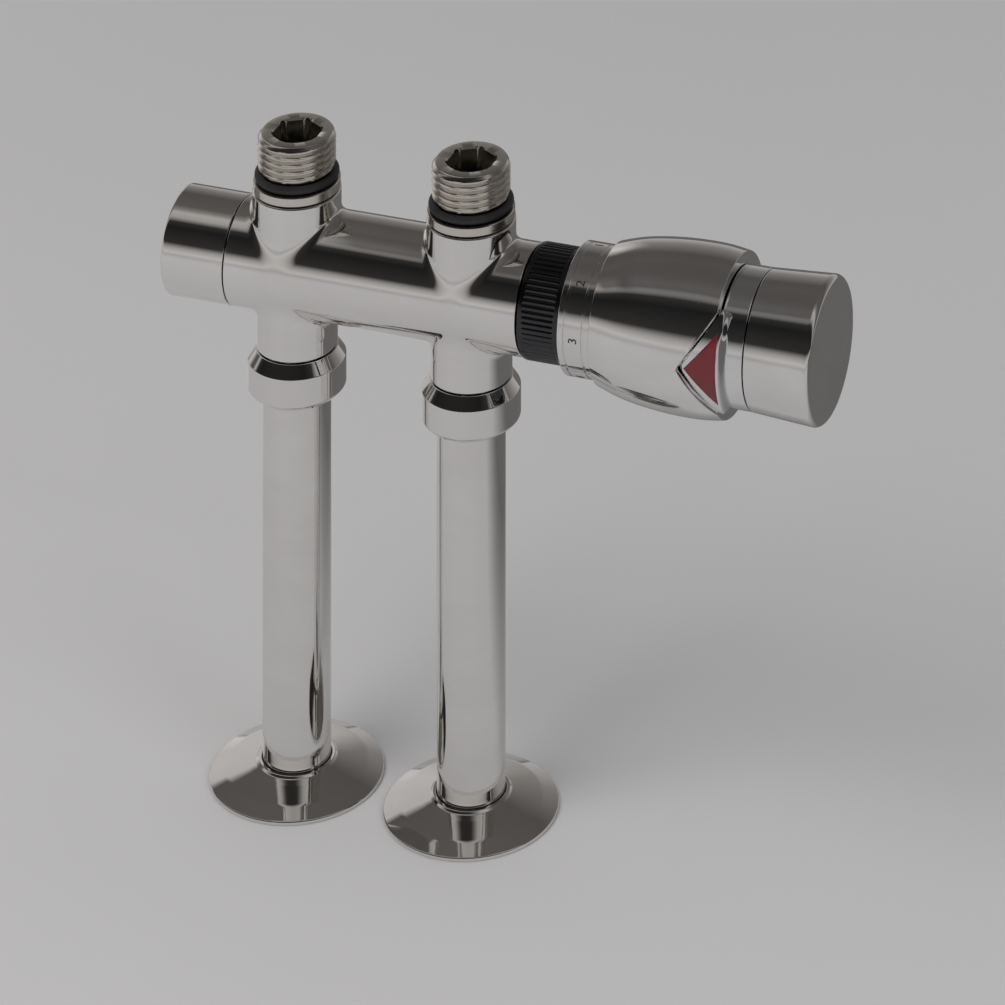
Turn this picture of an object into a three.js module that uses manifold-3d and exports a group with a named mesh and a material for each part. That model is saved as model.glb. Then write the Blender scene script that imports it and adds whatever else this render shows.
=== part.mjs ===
// Twin thermostatic radiator valve, horizontal cylindrical body with an in-line thermostatic head.
// Units are millimetres, +Z is up, +X points from the cover cap towards the thermostatic head and
// -Y is the side facing the room. The floor is Z = 0 and the origin is the middle of the footprint.

import * as THREE from 'three';
import { mergeVertices } from 'three/addons/utils/BufferGeometryUtils.js';
import Module from 'manifold-3d';

const wasm = await Module();
wasm.setup();

// ---- driving dimensions ----
// _LEFT, _RIGHT and _X are places along the valve axis. In the valve group, Z = 0 is that axis.

const PIPE_CENTRES = 50;        // distance between the two pipe connections
const PIPE_X = PIPE_CENTRES / 2;
const AXIS_HEIGHT = 136;        // valve axis above the floor
const GAP = 0.3;                // running gap between neighbouring pieces

const BODY_R = 13.5;            // horizontal body
const BODY_LEFT = -40.2;
const BODY_RIGHT = 43;
const CAP_LEFT = -58.5;         // outer face of the cover cap
const CAP_RIGHT = BODY_LEFT - GAP;
const CAP_BORE_R = 11.5;
const CAP_INNER_FACE = -56.6;

const UNION_R = 13.9;           // dark collar
const UNION_LEFT = BODY_RIGHT + GAP;
const UNION_RIGHT = 55.3;
const BASE_RING_R = 15.8;
const BASE_RING_LEFT = UNION_RIGHT + GAP;
const BASE_RING_RIGHT = 64.5;
const BARREL_LEFT = BASE_RING_RIGHT + GAP;
const BARREL_RIGHT = 99.7;
const BARREL_MAX_R = 20.4;
const RING_LEFT = BARREL_RIGHT + GAP;   // pointer ring
const RING_RIGHT = 107;
const RING_R = 16.65;
const KNOB_LEFT = RING_RIGHT + GAP;
const KNOB_RIGHT = 125.5;
const KNOB_INNER_END_R = 16.7;
const KNOB_OUTER_END_R = 17.7;

const NOTCH_APEX = 90.4;        // V-notch at the front of the barrel
const NOTCH_SLOPE = 1.4;        // half width per millimetre of length
const NOTCH_FLOOR_R = 17.4;
const ARROW_SLOPE = 1.08;

const NUT_R = 13;               // compression nuts
const PIPE_R = 7.5;
const PIPE_BORE_R = 6.5;
const SOCKET_TOP = -16;         // upper end of the pipe sockets
const SLEEVE_R = 9;
const SLEEVE_TOP = -32;
const ROSETTE_R = 23;
const ROSETTE_H = 5.2;

const TURN_MIN = -200;          // grip travel in degrees from the drawn setting
const TURN_MAX = 100;
const STOP_LUG = 29.4;          // angle of each stop lug, degrees
const GUIDE_ANGLES = [90, 210, 330];   // guide slots and lugs, degrees from the rear through the top

// Facets round a turned shape
const facets = { grip: 30, casing: 26, pipePort: 20, inner: 18, seat: 16, small: 12 };
const TORUS_SECTION_SIDES = 5;
const WIRE_SIDES = 4;
const COIL_STEPS_PER_TURN = 10;

// ---- geometry helpers ----

const rad = (degrees) => (degrees * Math.PI) / 180;
const polar = (radius, angle) =>
  new THREE.Vector2(radius * Math.cos(angle), radius * Math.sin(angle));

// One closed, outward facing, position-only mesh out of any closed geometry.
function closed(geometry) {
  for (const name of Object.keys(geometry.attributes)) {
    if (name !== 'position') geometry.deleteAttribute(name);
  }
  const merged = mergeVertices(geometry, 1e-4);
  const positions = merged.attributes.position;
  const source = merged.index.array;
  const corners = [new THREE.Vector3(), new THREE.Vector3(), new THREE.Vector3()];
  const kept = [];
  let volume = 0;
  for (let i = 0; i < source.length; i += 3) {
    const triangle = source.slice(i, i + 3);
    if (new Set(triangle).size < 3) continue;
    kept.push(...triangle);
    const [first, second, third] = corners;
    corners.forEach((corner, k) => corner.fromBufferAttribute(positions, triangle[k]));
    volume += first.dot(second.cross(third));
  }
  if (volume < 0) {
    for (let i = 0; i < kept.length; i += 3) {
      [kept[i + 1], kept[i + 2]] = [kept[i + 2], kept[i + 1]];
    }
  }
  merged.setIndex(kept);
  return merged;
}

// Turns a shape made along +Y to lie along +X or +Z.
const layAlong = (geometry, axis) =>
  axis === 'x' ? geometry.rotateZ(-Math.PI / 2) : geometry.rotateX(Math.PI / 2);

// Turned shape. The profile lists [distance along the axis, radius]. It starts and ends on the
// axis, or it is a ring section that starts off the axis and is closed here.
function turned(profile, axis = 'x', segments = facets.inner) {
  const points = profile.map(([along, radius]) => new THREE.Vector2(radius, along));
  if (profile[0][1] > 0) points.push(points[0].clone());
  return closed(layAlong(new THREE.LatheGeometry(points, segments), axis));
}

const rod = (from, to, radius, axis, segments) =>
  turned([[from, 0], [from, radius], [to, radius], [to, 0]], axis, segments);
const tube = (from, to, outerR, innerR, axis, segments) =>
  turned([[from, innerR], [from, outerR], [to, outerR], [to, innerR]], axis, segments);

function torus(at, major, minor, axis, segments) {
  const section = [];
  for (let i = 0; i < TORUS_SECTION_SIDES; i++) {
    const point = polar(minor, (i / TORUS_SECTION_SIDES) * 2 * Math.PI);
    section.push([at + point.x, major + point.y]);
  }
  return turned(section, axis, segments);
}

// Hexagonal bar along an axis.
function hexBar(from, to, acrossFlats, axis = 'x') {
  const radius = acrossFlats / Math.sqrt(3);
  const bar = new THREE.CylinderGeometry(radius, radius, to - from, 6);
  bar.translate(0, (from + to) / 2, 0);
  return closed(layAlong(bar, axis));
}

// Round rod in the XZ plane, between two [x, z] points.
function obliqueRod([x0, z0], [x1, z1], radius) {
  const length = Math.hypot(x1 - x0, z1 - z0);
  const shape = new THREE.CylinderGeometry(radius, radius, length, facets.small);
  shape.rotateX(Math.PI / 2);
  shape.rotateY(Math.atan2(x1 - x0, z1 - z0));
  shape.translate((x0 + x1) / 2, 0, (z0 + z1) / 2);
  return closed(shape);
}

// Part of a ring about the X axis. Angles run from the front (-Y), positive turning downwards.
function ringSector(from, to, innerR, outerR, start, end, steps = 4) {
  const arc = (radius) => Array.from({ length: steps + 1 }, (_, i) =>
    polar(radius, rad(start + ((end - start) * i) / steps)));
  const outline = new THREE.Shape([...arc(outerR), ...arc(innerR).reverse()]);
  const sector = new THREE.ExtrudeGeometry(outline, { depth: to - from, bevelEnabled: false });
  sector.applyMatrix4(new THREE.Matrix4().makeBasis(
    new THREE.Vector3(0, -1, 0), new THREE.Vector3(0, 0, -1), new THREE.Vector3(1, 0, 0)));
  sector.translate(from, 0, 0);
  return closed(sector);
}

// Three boxes round the X axis. The size is [along the axis, radial, across].
function guideBoxes(size, x, radius) {
  return GUIDE_ANGLES.map((angle) => {
    const box = new THREE.BoxGeometry(...size);
    box.translate(x, radius, 0);
    box.rotateX(rad(angle));
    return closed(box);
  });
}

// V-shaped block in front of the axis, its outline in the XZ plane, its thickness towards -Y.
function wedge(apex, slope, end) {
  const halfWidth = (end - apex) * slope;
  const outline = new THREE.Shape([
    new THREE.Vector2(apex, 0),
    new THREE.Vector2(end, halfWidth),
    new THREE.Vector2(end, -halfWidth),
  ]);
  const block = new THREE.ExtrudeGeometry(outline, { depth: 24, bevelEnabled: false });
  return closed(block.rotateX(Math.PI / 2));
}

class Helix extends THREE.Curve {
  constructor(from, to, radius, turns) {
    super();
    Object.assign(this, { from, to, radius, turns });
  }

  getPoint(t, target = new THREE.Vector3()) {
    const { x: y, y: z } = polar(this.radius, t * this.turns * 2 * Math.PI);
    return target.set(this.from + (this.to - this.from) * t, y, z);
  }
}

// Coil spring along X.
function coil({ from, to, radius, wireR, turns }) {
  const section = Array.from({ length: WIRE_SIDES }, (_, i) =>
    polar(wireR, (i / WIRE_SIDES) * 2 * Math.PI));
  return closed(new THREE.ExtrudeGeometry(new THREE.Shape(section), {
    steps: Math.round(turns * COIL_STEPS_PER_TURN),
    bevelEnabled: false,
    extrudePath: new Helix(from + wireR, to - wireR, radius, turns),
  }));
}

// Boolean operations accept geometries and solids alike and return solids.
const solid = (shape) => (shape instanceof wasm.Manifold ? shape : new wasm.Manifold(new wasm.Mesh({
  numProp: 3,
  vertProperties: new Float32Array(shape.attributes.position.array),
  triVerts: new Uint32Array(shape.index.array),
})));
const join = (...shapes) => shapes.map(solid).reduce((sum, part) => sum.add(part));
const cut = (...shapes) => shapes.map(solid).reduce((rest, tool) => rest.subtract(tool));
const overlap = (first, second) => solid(first).intersect(solid(second));

function surface(manifold) {
  const mesh = manifold.getMesh();
  const geometry = new THREE.BufferGeometry();
  const positions = new Float32Array(mesh.vertProperties);
  geometry.setAttribute('position', new THREE.BufferAttribute(positions, 3));
  geometry.setIndex(Array.from(mesh.triVerts));
  return geometry;
}

// ---- materials ----

const finish = (settings) => () => new THREE.MeshStandardMaterial(settings);
const chrome = finish({ color: 0xc9c9c8, roughness: 0.08, metalness: 1 });
const graphite = finish({ color: 0x2a2a2c, roughness: 0.4, metalness: 0.6 });
const brass = finish({ color: 0xb08d4c, roughness: 0.35, metalness: 1 });
const copper = finish({ color: 0xb87452, roughness: 0.35, metalness: 1 });
const nickel = finish({ color: 0xb9b6ae, roughness: 0.25, metalness: 1 });
const steel = finish({ color: 0x9a9c9e, roughness: 0.3, metalness: 1 });
const rubber = finish({ color: 0x1c1c1d, roughness: 0.8, metalness: 0 });
const darkRed = finish({ color: 0x8e1b20, roughness: 0.4, metalness: 0 });
const whitePlastic = finish({ color: 0xdcdcd8, roughness: 0.5, metalness: 0 });
const blackPlastic = finish({ color: 0x242426, roughness: 0.5, metalness: 0 });

// ---- assembly ----

const group = new THREE.Group();
group.position.x = -(CAP_LEFT + KNOB_RIGHT) / 2;

const valve = new THREE.Group();        // everything on the valve axis
valve.position.z = AXIS_HEIGHT;
group.add(valve);

function place(parent, name, shape, material) {
  const geometry = shape instanceof wasm.Manifold ? surface(shape) : shape;
  geometry.computeVertexNormals();
  const mesh = new THREE.Mesh(geometry, material());
  mesh.name = name;
  parent.add(mesh);
}

// ---- valve body ----

const BRANCH_UP_R = 11.75;      // branch towards the radiator
const BRANCH_UP_TOP = 19;
const BRANCH_LOW_R = 10.75;     // branch towards the pipe
const BRANCH_LOW_END = -22;
const STUB_R = 9.5;             // male thread under the lower branch
const STUB_END = -26.7;
const HEAD_SPIGOT_R = 10.8;     // male thread under the union nut
const HEAD_SPIGOT_END = 52;
const CAP_SPIGOT_R = 11.2;
const CAP_SPIGOT_END = -53;
const ROOT = 2;                 // overlap of spigots and stubs with what carries them

const SEAT_X = 22;              // seat faces, mirrored on the return side
const SEAT_LENGTH = 2.5;
const SEAT_LIP_R = 6.3;
const SEAT_OVERLAP = 0.5;       // seat rings reach this far inside the port radius
const PORT_R = 5;
const PORT_INNER_END = 9;
const CHAMBER_X = SEAT_X - 1.5; // inner end of both chambers
const FEED_CHAMBER_R = 8;
const RETURN_CHAMBER_R = 7.5;
const RADIATOR_PORT_R = 7.9;
const RADIATOR_PORT_FLOOR = 11.3;
const PASSAGE = { start: [13.3, 0], end: [19.2, 14.5], radius: 2.8 };   // [x, z], right side

const upright = (x, from, to, radius, segments) =>
  rod(from, to, radius, 'z', segments).translate(x, 0, 0);

const branches = (x) => [
  turned([
    [0, 0], [0, BRANCH_UP_R], [BRANCH_UP_TOP - 0.5, BRANCH_UP_R],
    [BRANCH_UP_TOP, BRANCH_UP_R - 0.5], [BRANCH_UP_TOP, 0],
  ], 'z', facets.casing).translate(x, 0, 0),
  upright(x, BRANCH_LOW_END, 0, BRANCH_LOW_R, facets.casing),
  upright(x, STUB_END, BRANCH_LOW_END + ROOT, STUB_R),
];

function branchBores(side) {
  const x = side * PIPE_X;
  const { start, end, radius } = PASSAGE;
  return [
    upright(x, -30, -2, PORT_R, facets.pipePort),
    upright(x, -40, SOCKET_TOP, PIPE_R + GAP),
    upright(x, RADIATOR_PORT_FLOOR, 30, RADIATOR_PORT_R),
    // passage from behind the seat to the radiator port
    obliqueRod([side * start[0], start[1]], [side * end[0], end[1]], radius),
  ];
}

function valveBody() {
  const outside = join(
    turned([
      [BODY_LEFT, 0], [BODY_LEFT, BODY_R - 0.4], [BODY_LEFT + 0.4, BODY_R],
      [BODY_RIGHT - 0.4, BODY_R], [BODY_RIGHT, BODY_R - 0.4], [BODY_RIGHT, 0],
    ], 'x', facets.casing),
    rod(CAP_SPIGOT_END, BODY_LEFT + ROOT, CAP_SPIGOT_R),
    rod(BODY_RIGHT - ROOT, HEAD_SPIGOT_END, HEAD_SPIGOT_R),
    ...branches(-PIPE_X),
    ...branches(PIPE_X));
  const chambered = cut(outside,
    rod(CHAMBER_X, 70, FEED_CHAMBER_R),
    rod(-70, -CHAMBER_X, RETURN_CHAMBER_R));
  const seatBoreR = PORT_R - SEAT_OVERLAP;
  const seated = join(chambered,
    tube(SEAT_X - SEAT_LENGTH, SEAT_X, SEAT_LIP_R, seatBoreR, 'x', facets.seat),
    tube(-SEAT_X, -SEAT_X + SEAT_LENGTH, SEAT_LIP_R, seatBoreR, 'x', facets.seat));
  return cut(seated,
    rod(PORT_INNER_END, SEAT_X + 1, PORT_R, 'x', facets.seat),
    rod(-SEAT_X - 1, -PORT_INNER_END, PORT_R, 'x', facets.seat),
    ...branchBores(-1),
    ...branchBores(1),
    tube(-47.6, -45.2, 12.5, 10));      // O-ring groove on the cap spigot
}

place(valve, 'valve_body', valveBody(), chrome);

// ---- return shut-off, left end ----

place(valve, 'shutoff_cover_cap', turned([
  [CAP_RIGHT, CAP_BORE_R], [CAP_RIGHT, BODY_R - 0.3], [CAP_RIGHT - 0.3, BODY_R],
  [CAP_LEFT + 1, BODY_R], [CAP_LEFT + 0.3, BODY_R - 0.3], [CAP_LEFT, BODY_R - 1],
  [CAP_LEFT, 0], [CAP_INNER_FACE, 0], [CAP_INNER_FACE, CAP_BORE_R],
], 'x', facets.casing), chrome);

place(valve, 'cap_o_ring', torus(-46.4, 10.75, 0.55), rubber);

place(valve, 'shutoff_bonnet', cut(
  join(rod(-53.6, -36, 7.2), hexBar(-55.4, -53.3, 17)),
  rod(-60, -30, 4.4, 'x', facets.small)), brass);

// Spindle with an O-ring groove and a hexagon socket in its left end
place(valve, 'shutoff_spindle', cut(
  turned([
    [-51, 0], [-51, 4.1], [-42.2, 4.1], [-42.2, 3.1], [-40.2, 3.1],
    [-40.2, 4.1], [-33, 4.1], [-33, 2.2], [-29.2, 2.2], [-29.2, 0],
  ], 'x', facets.small),
  hexBar(-52, -45.5, 5)), brass);

place(valve, 'shutoff_o_ring', torus(-41.2, 3.7, 0.4, 'x', facets.small), rubber);

place(valve, 'shutoff_cone', turned([
  [-32.7, 2.5], [-32.7, 3.8], [-28.6, 3.8], [-28.6, 6.9], [-26.5, 6.9], [-26.5, 2],
  [-24.9, 2], [-24.9, 0], [-28.9, 0], [-28.9, 2.5],
], 'x', facets.seat), brass);

place(valve, 'shutoff_washer', tube(-26.2, -24.7, 6.8, 2.4, 'x', facets.seat), rubber);

// ---- thermostatic insert ----

place(valve, 'insert_body', cut(turned([
  [33, 1.85], [33, 7.1], [33.6, 7.7], [37, 7.7], [37, 6.6], [39.2, 6.6],
  [39.2, 7.7], [51.6, 7.7], [51.6, 5], [36, 5], [36, 1.85],
])), brass);

place(valve, 'insert_o_ring', torus(38.1, 7.32, 0.42), rubber);

place(valve, 'gland_nut', cut(
  join(rod(46.8, 52.4, 4.7, 'x', facets.small), hexBar(52, 54.5, 12.5)),
  rod(40, 60, 1.9, 'x', facets.small),          // spindle bore
  rod(46, 48.6, 2.9, 'x', facets.small)), brass);       // O-ring recess

place(valve, 'gland_o_ring', torus(47.7, 2.22, 0.36, 'x', facets.small), rubber);

place(valve, 'valve_spindle', turned([
  [28, 0], [28, 1.5], [44.3, 1.5], [44.3, 4.2], [45.3, 4.2],
  [45.3, 1.5], [56.1, 1.5], [56.5, 1.1], [56.5, 0],
], 'x', facets.small), steel);

place(valve, 'valve_disc', turned([
  [24.4, 0], [24.4, 1.6], [26, 1.6], [26, 6.6], [27.2, 6.6], [27.2, 2.8],
  [30, 2.8], [30, 1.85], [27.7, 1.85], [27.7, 0],
], 'x', facets.seat), brass);

place(valve, 'disc_washer', tube(24.2, 25.7, 6.9, 1.95, 'x', facets.seat), rubber);

place(valve, 'return_spring',
  coil({ from: 36.4, to: 44, radius: 3.3, wireR: 0.4, turns: 5 }), steel);

// ---- union nut and fixed part of the head ----

place(valve, 'union_nut', turned([
  [UNION_LEFT, 11.1], [UNION_LEFT, UNION_R - 0.5], [UNION_LEFT + 0.5, UNION_R],
  [UNION_RIGHT - 0.5, UNION_R], [UNION_RIGHT, UNION_R - 0.5], [UNION_RIGHT, 9.5],
  [53.9, 9.5], [53.9, 11.1],
], 'x', facets.casing), graphite);

// A stop lug centred on the given angle.
const stopLug = (from, to, innerR, outerR, centre) =>
  ringSector(from, to, innerR, outerR, centre - STOP_LUG / 2, centre + STOP_LUG / 2);

// Slotted tube with the clip groove near its right end and the fixed stop lug at the rear
function headBase() {
  const core = turned([
    [52.3, 8], [52.3, 10.8], [53.6, 10.8], [53.6, 9.2], [BASE_RING_LEFT, 9.2],
    [BASE_RING_LEFT, 12], [BASE_RING_RIGHT, 12], [BASE_RING_RIGHT, 11], [98.6, 11],
    [98.6, 10.2], [100.2, 10.2], [100.2, 11], [101, 11], [101, 9.5], [66, 9.5],
    [66, 2.6], [57, 2.6], [57, 8],
  ]);
  return cut(
    join(core, stopLug(BARREL_LEFT, 67.6, 10.6, 13.1, 180)),
    ...guideBoxes([22, 6, 6.6], 83, 10.5));
}

place(valve, 'head_base', headBase(), whitePlastic);

function baseRing() {
  const grooves = [57.6, 62.5].flatMap((x) => [
    [x - 0.3, BASE_RING_R], [x, BASE_RING_R - 0.4], [x + 0.3, BASE_RING_R],
  ]);
  return turned([
    [BASE_RING_LEFT, 12.3], [BASE_RING_LEFT, BASE_RING_R - 0.4],
    [BASE_RING_LEFT + 0.4, BASE_RING_R], ...grooves, [BASE_RING_RIGHT - 0.4, BASE_RING_R],
    [BASE_RING_RIGHT, BASE_RING_R - 0.4], [BASE_RING_RIGHT, 12.3],
  ], 'x', facets.casing);
}

place(valve, 'base_ring', baseRing(), chrome);

place(valve, 'retaining_clip', ringSector(98.9, 99.9, 10.5, 12.7, -150, 150, 16), steel);

// ---- turning part of the head ----

const gripTurned = (profile) => turned(profile, 'x', facets.grip);
const gripCore = (radius) => rod(80, 110, radius, 'x', facets.grip);

function gripBarrel() {
  const outside = [
    [BARREL_LEFT, 17], [70, 18.5], [76, 19.55], [83, 20.2],
    [90, BARREL_MAX_R], [95, 20.2], [98.5, 19.35], [BARREL_RIGHT, 18.1],
  ];
  const inside = [
    [BARREL_RIGHT, 13.7], [98.3, 13.7], [98.3, 11.4], [95.5, 11.4], [95.5, 13.5],
    [90, 13.5], [88.5, 16], [71.5, 16], [70, 13.5], [BARREL_LEFT, 13.5],
  ];
  // the lug stands opposite the fixed lug in the middle of the travel
  const lug = stopLug(65, 67.7, 11.4, 14, -(TURN_MIN + TURN_MAX) / 2);
  const notch = cut(wedge(NOTCH_APEX, NOTCH_SLOPE, 103), gripCore(NOTCH_FLOOR_R));
  return cut(join(gripTurned([...outside, ...inside]), lug), notch);
}

place(valve, 'grip_barrel', gripBarrel(), chrome);

place(valve, 'drive_sleeve', turned([
  [68, 11.4], [68, 13.2], [95.1, 13.2], [95.1, 12.4], [69.5, 12.4], [69.5, 11.4],
]), brass);

// Ring with a pointed tongue that fills the notch and is recessed for the arrow
function pointerRing() {
  const tongueBand = gripTurned([
    [88, 17.7], [88, 19], [RING_LEFT + 0.3, 19], [RING_LEFT + 2.2, RING_R],
    [RING_LEFT + 2.2, 16.3], [RING_LEFT, 16.3], [RING_LEFT, 17.7],
  ]);
  const tongue = overlap(wedge(NOTCH_APEX + 0.5, NOTCH_SLOPE, 102), tongueBand);
  const ring = tube(RING_LEFT, RING_RIGHT, RING_R, 13.6, 'x', facets.grip);
  const recess = cut(wedge(NOTCH_APEX + 1.2, ARROW_SLOPE, 100.4), gripCore(18.3));
  return cut(join(tongue, ring), recess);
}

place(valve, 'pointer_ring', pointerRing(), chrome);

place(valve, 'pointer_arrow', overlap(
  wedge(NOTCH_APEX + 1.6, ARROW_SLOPE, 100.6),
  tube(88, 100.1, 19.4, 18.6, 'x', facets.grip)), darkRed);

place(valve, 'end_knob', gripTurned([
  [KNOB_LEFT, 13.3], [KNOB_LEFT, KNOB_INNER_END_R], [KNOB_RIGHT - 2, KNOB_OUTER_END_R],
  [KNOB_RIGHT - 0.6, KNOB_OUTER_END_R - 0.6], [KNOB_RIGHT, KNOB_OUTER_END_R - 2],
  [KNOB_RIGHT, 0], [KNOB_RIGHT - 1.7, 0], [KNOB_RIGHT - 1.7, 15.3],
  [109.3, 15.3], [109.3, 12], [101.4, 12], [101.4, 13.3],
]), chrome);

// ---- sensor, slides along the axis ----

place(valve, 'sensor_carrier', join(
  turned([[76, 7.8], [76, 9.1], [103.5, 9.1], [103.5, 0], [102.2, 0], [102.2, 7.8]]),
  ...guideBoxes([7, 3.2, 6], 83.5, 10)), blackPlastic);

place(valve, 'sensor_capsule', turned([
  [71.5, 2.3], [71.5, 3.2], [75.2, 3.2], [75.2, 6.9], [75.8, 7.5],
  [93.4, 7.5], [94, 6.9], [94, 0], [74, 0], [74, 2.3],
]), copper);

place(valve, 'push_rod', turned([
  [56.8, 0], [56.8, 1.6], [57.2, 2], [73.7, 2], [73.7, 0],
], 'x', facets.small), steel);

place(valve, 'overtravel_spring',
  coil({ from: 94.4, to: 101.8, radius: 5.9, wireR: 0.65, turns: 3 }), steel);

// ---- the two pipe connections, identical left and right ----

function groupAt(parent, x) {
  const part = new THREE.Group();
  part.position.x = x;
  parent.add(part);
  return part;
}

// Self-sealing nipple into the radiator, with a hexagon socket in its top
const radiatorNipple = () => cut(
  turned([
    [11.6, 5], [11.6, 7.6], [19.3, 7.6], [19.3, 11.5], [21.8, 11.5], [21.8, 8.9],
    [24.4, 8.9], [24.4, 10.2], [33, 10.2], [34, 9.4], [34, 5],
  ], 'z'),
  hexBar(26, 36, 12, 'z'));

const compressionNut = () => turned([
  [-34, 9.3], [-34, 11.6], [-32.4, NUT_R], [-25.4, NUT_R], [-22.3, 10.9],
  [-22.3, 9.8], [-28.5, 9.8], [-31, 8.3], [-31.7, 8], [-31.7, 9.3],
], 'z', facets.casing);

const olive = () => turned([
  [-30.2, 7.85], [-30.2, 8.2], [-29.2, 8.8], [-28.2, 8.2], [-28.2, 7.85],
], 'z');

const floorRosette = () => turned([
  [0, 20.4], [0, ROSETTE_R], [0.8, ROSETTE_R], [2.8, 18], [4.3, 12.5],
  [ROSETTE_H, 10.3], [ROSETTE_H, 9.3], [3.4, 9.3], [1.7, 17.6],
], 'z', facets.casing);

for (const [side, x] of [['left', -PIPE_X], ['right', PIPE_X]]) {
  const upper = groupAt(valve, x);
  place(upper, `radiator_nipple_${side}`, radiatorNipple(), nickel);
  place(upper, `nipple_seal_${side}`, torus(23.1, 10.15, 0.95, 'z'), rubber);
  place(upper, `compression_nut_${side}`, compressionNut(), chrome);
  place(upper, `olive_${side}`, olive(), brass);
  place(upper, `pipe_seal_${side}`, tube(-27.9, -27, 9.1, 7.85, 'z'), rubber);

  // heights in this group are measured from the floor
  const lower = groupAt(group, x);
  const pipeTop = AXIS_HEIGHT + SOCKET_TOP - GAP;
  const sleeveTop = AXIS_HEIGHT + SLEEVE_TOP;
  place(lower, `supply_pipe_${side}`, tube(0, pipeTop, PIPE_R, PIPE_BORE_R, 'z'), copper);
  place(lower, `pipe_sleeve_${side}`,
    tube(0.4, sleeveTop, SLEEVE_R, 8.1, 'z', facets.casing), chrome);
  place(lower, `floor_rosette_${side}`, floorRosette(), chrome);
}

export default group;
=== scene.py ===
import math

import bpy
import numpy as np
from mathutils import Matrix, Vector


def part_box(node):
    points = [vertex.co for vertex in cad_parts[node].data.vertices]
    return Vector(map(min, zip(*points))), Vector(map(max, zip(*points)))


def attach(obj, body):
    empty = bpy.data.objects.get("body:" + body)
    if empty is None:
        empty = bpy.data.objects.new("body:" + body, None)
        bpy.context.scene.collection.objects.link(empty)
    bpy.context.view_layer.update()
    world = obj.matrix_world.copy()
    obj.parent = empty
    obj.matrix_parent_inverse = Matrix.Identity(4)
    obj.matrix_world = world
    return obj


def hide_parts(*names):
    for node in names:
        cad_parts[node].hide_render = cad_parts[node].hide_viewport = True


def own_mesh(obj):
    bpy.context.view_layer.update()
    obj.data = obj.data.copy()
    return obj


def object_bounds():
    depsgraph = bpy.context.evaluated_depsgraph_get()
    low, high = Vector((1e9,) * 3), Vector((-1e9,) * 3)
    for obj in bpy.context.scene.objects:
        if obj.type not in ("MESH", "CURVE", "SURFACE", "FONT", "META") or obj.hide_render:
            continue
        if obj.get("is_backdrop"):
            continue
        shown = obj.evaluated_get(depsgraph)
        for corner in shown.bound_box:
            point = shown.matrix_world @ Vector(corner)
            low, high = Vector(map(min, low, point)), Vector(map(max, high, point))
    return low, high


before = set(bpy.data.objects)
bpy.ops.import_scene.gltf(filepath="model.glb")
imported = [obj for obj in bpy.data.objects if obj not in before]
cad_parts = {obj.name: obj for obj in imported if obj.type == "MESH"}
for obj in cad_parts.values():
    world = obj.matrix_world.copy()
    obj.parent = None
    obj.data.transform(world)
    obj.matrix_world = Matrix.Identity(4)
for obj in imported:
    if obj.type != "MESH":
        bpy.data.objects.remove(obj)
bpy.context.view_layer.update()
scene = bpy.context.scene
MM = 0.001


def centre_of(node):
    lo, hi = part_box(node)
    return (lo + hi) / 2 * 1000


# Where the valve stands in the frame, in millimetres: X = 0 is mid-way between the two pipes.
OX = (centre_of("supply_pipe_left").x + centre_of("supply_pipe_right").x) / 2
AZ = centre_of("valve_spindle").z
PIPES = {s: centre_of("supply_pipe_" + s).x - OX for s in ("left", "right")}

# ---------------------------------------------------------------------------------------------
# Materials
# ---------------------------------------------------------------------------------------------


class Nodes:
    def __init__(self, tree):
        self.t = tree
        tree.nodes.clear()

    def add(self, kind, **kw):
        n = self.t.nodes.new(kind)
        for k, v in kw.items():
            if k.startswith("in_"):
                n.inputs[k[3:].replace("_", " ")].default_value = v
            else:
                setattr(n, k, v)
        return n

    def link(self, a, b):
        self.t.links.new(a, b)

    def math(self, op, a, b=None, c=None, clamp=False):
        n = self.t.nodes.new("ShaderNodeMath")
        n.operation, n.use_clamp = op, clamp
        for i, v in enumerate((a, b, c)):
            if v is None:
                continue
            if isinstance(v, (int, float)):
                n.inputs[i].default_value = v
            else:
                self.link(v, n.inputs[i])
        return n.outputs[0]

    def noise(self, vec, scale, detail=3.0, rough=0.5, distort=0.0):
        n = self.t.nodes.new("ShaderNodeTexNoise")
        n.inputs["Scale"].default_value = scale
        n.inputs["Detail"].default_value = detail
        n.inputs["Roughness"].default_value = rough
        n.inputs["Distortion"].default_value = distort
        self.link(vec, n.inputs["Vector"])
        return n.outputs["Fac"]

    def ramp(self, fac, stops):
        n = self.t.nodes.new("ShaderNodeValToRGB")
        e = n.color_ramp.elements
        e[0].position, e[0].color = stops[0][0], (*stops[0][1], 1)
        e[1].position, e[1].color = stops[-1][0], (*stops[-1][1], 1)
        for p, c in stops[1:-1]:
            x = e.new(p)
            x.color = (*c, 1)
        self.link(fac, n.inputs["Fac"])
        return n.outputs["Color"]

    def stretch(self, vec, scale):
        n = self.t.nodes.new("ShaderNodeMapping")
        n.inputs["Scale"].default_value = scale
        self.link(vec, n.inputs["Vector"])
        return n.outputs["Vector"]


def material(name, build):
    m = bpy.data.materials.new(name)
    m.use_nodes = True
    n = Nodes(m.node_tree)
    out = n.add("ShaderNodeOutputMaterial")
    bsdf = n.add("ShaderNodeBsdfPrincipled")
    n.link(bsdf.outputs[0], out.inputs["Surface"])
    pos = n.add("ShaderNodeTexCoord").outputs["Object"]
    build(n, bsdf, pos)
    return m


def bump(n, bsdf, height, distance, strength=1.0):
    b = n.add("ShaderNodeBump")
    b.inputs["Strength"].default_value = strength
    b.inputs["Distance"].default_value = distance
    n.link(height, b.inputs["Height"])
    n.link(b.outputs[0], bsdf.inputs["Normal"])


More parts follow.
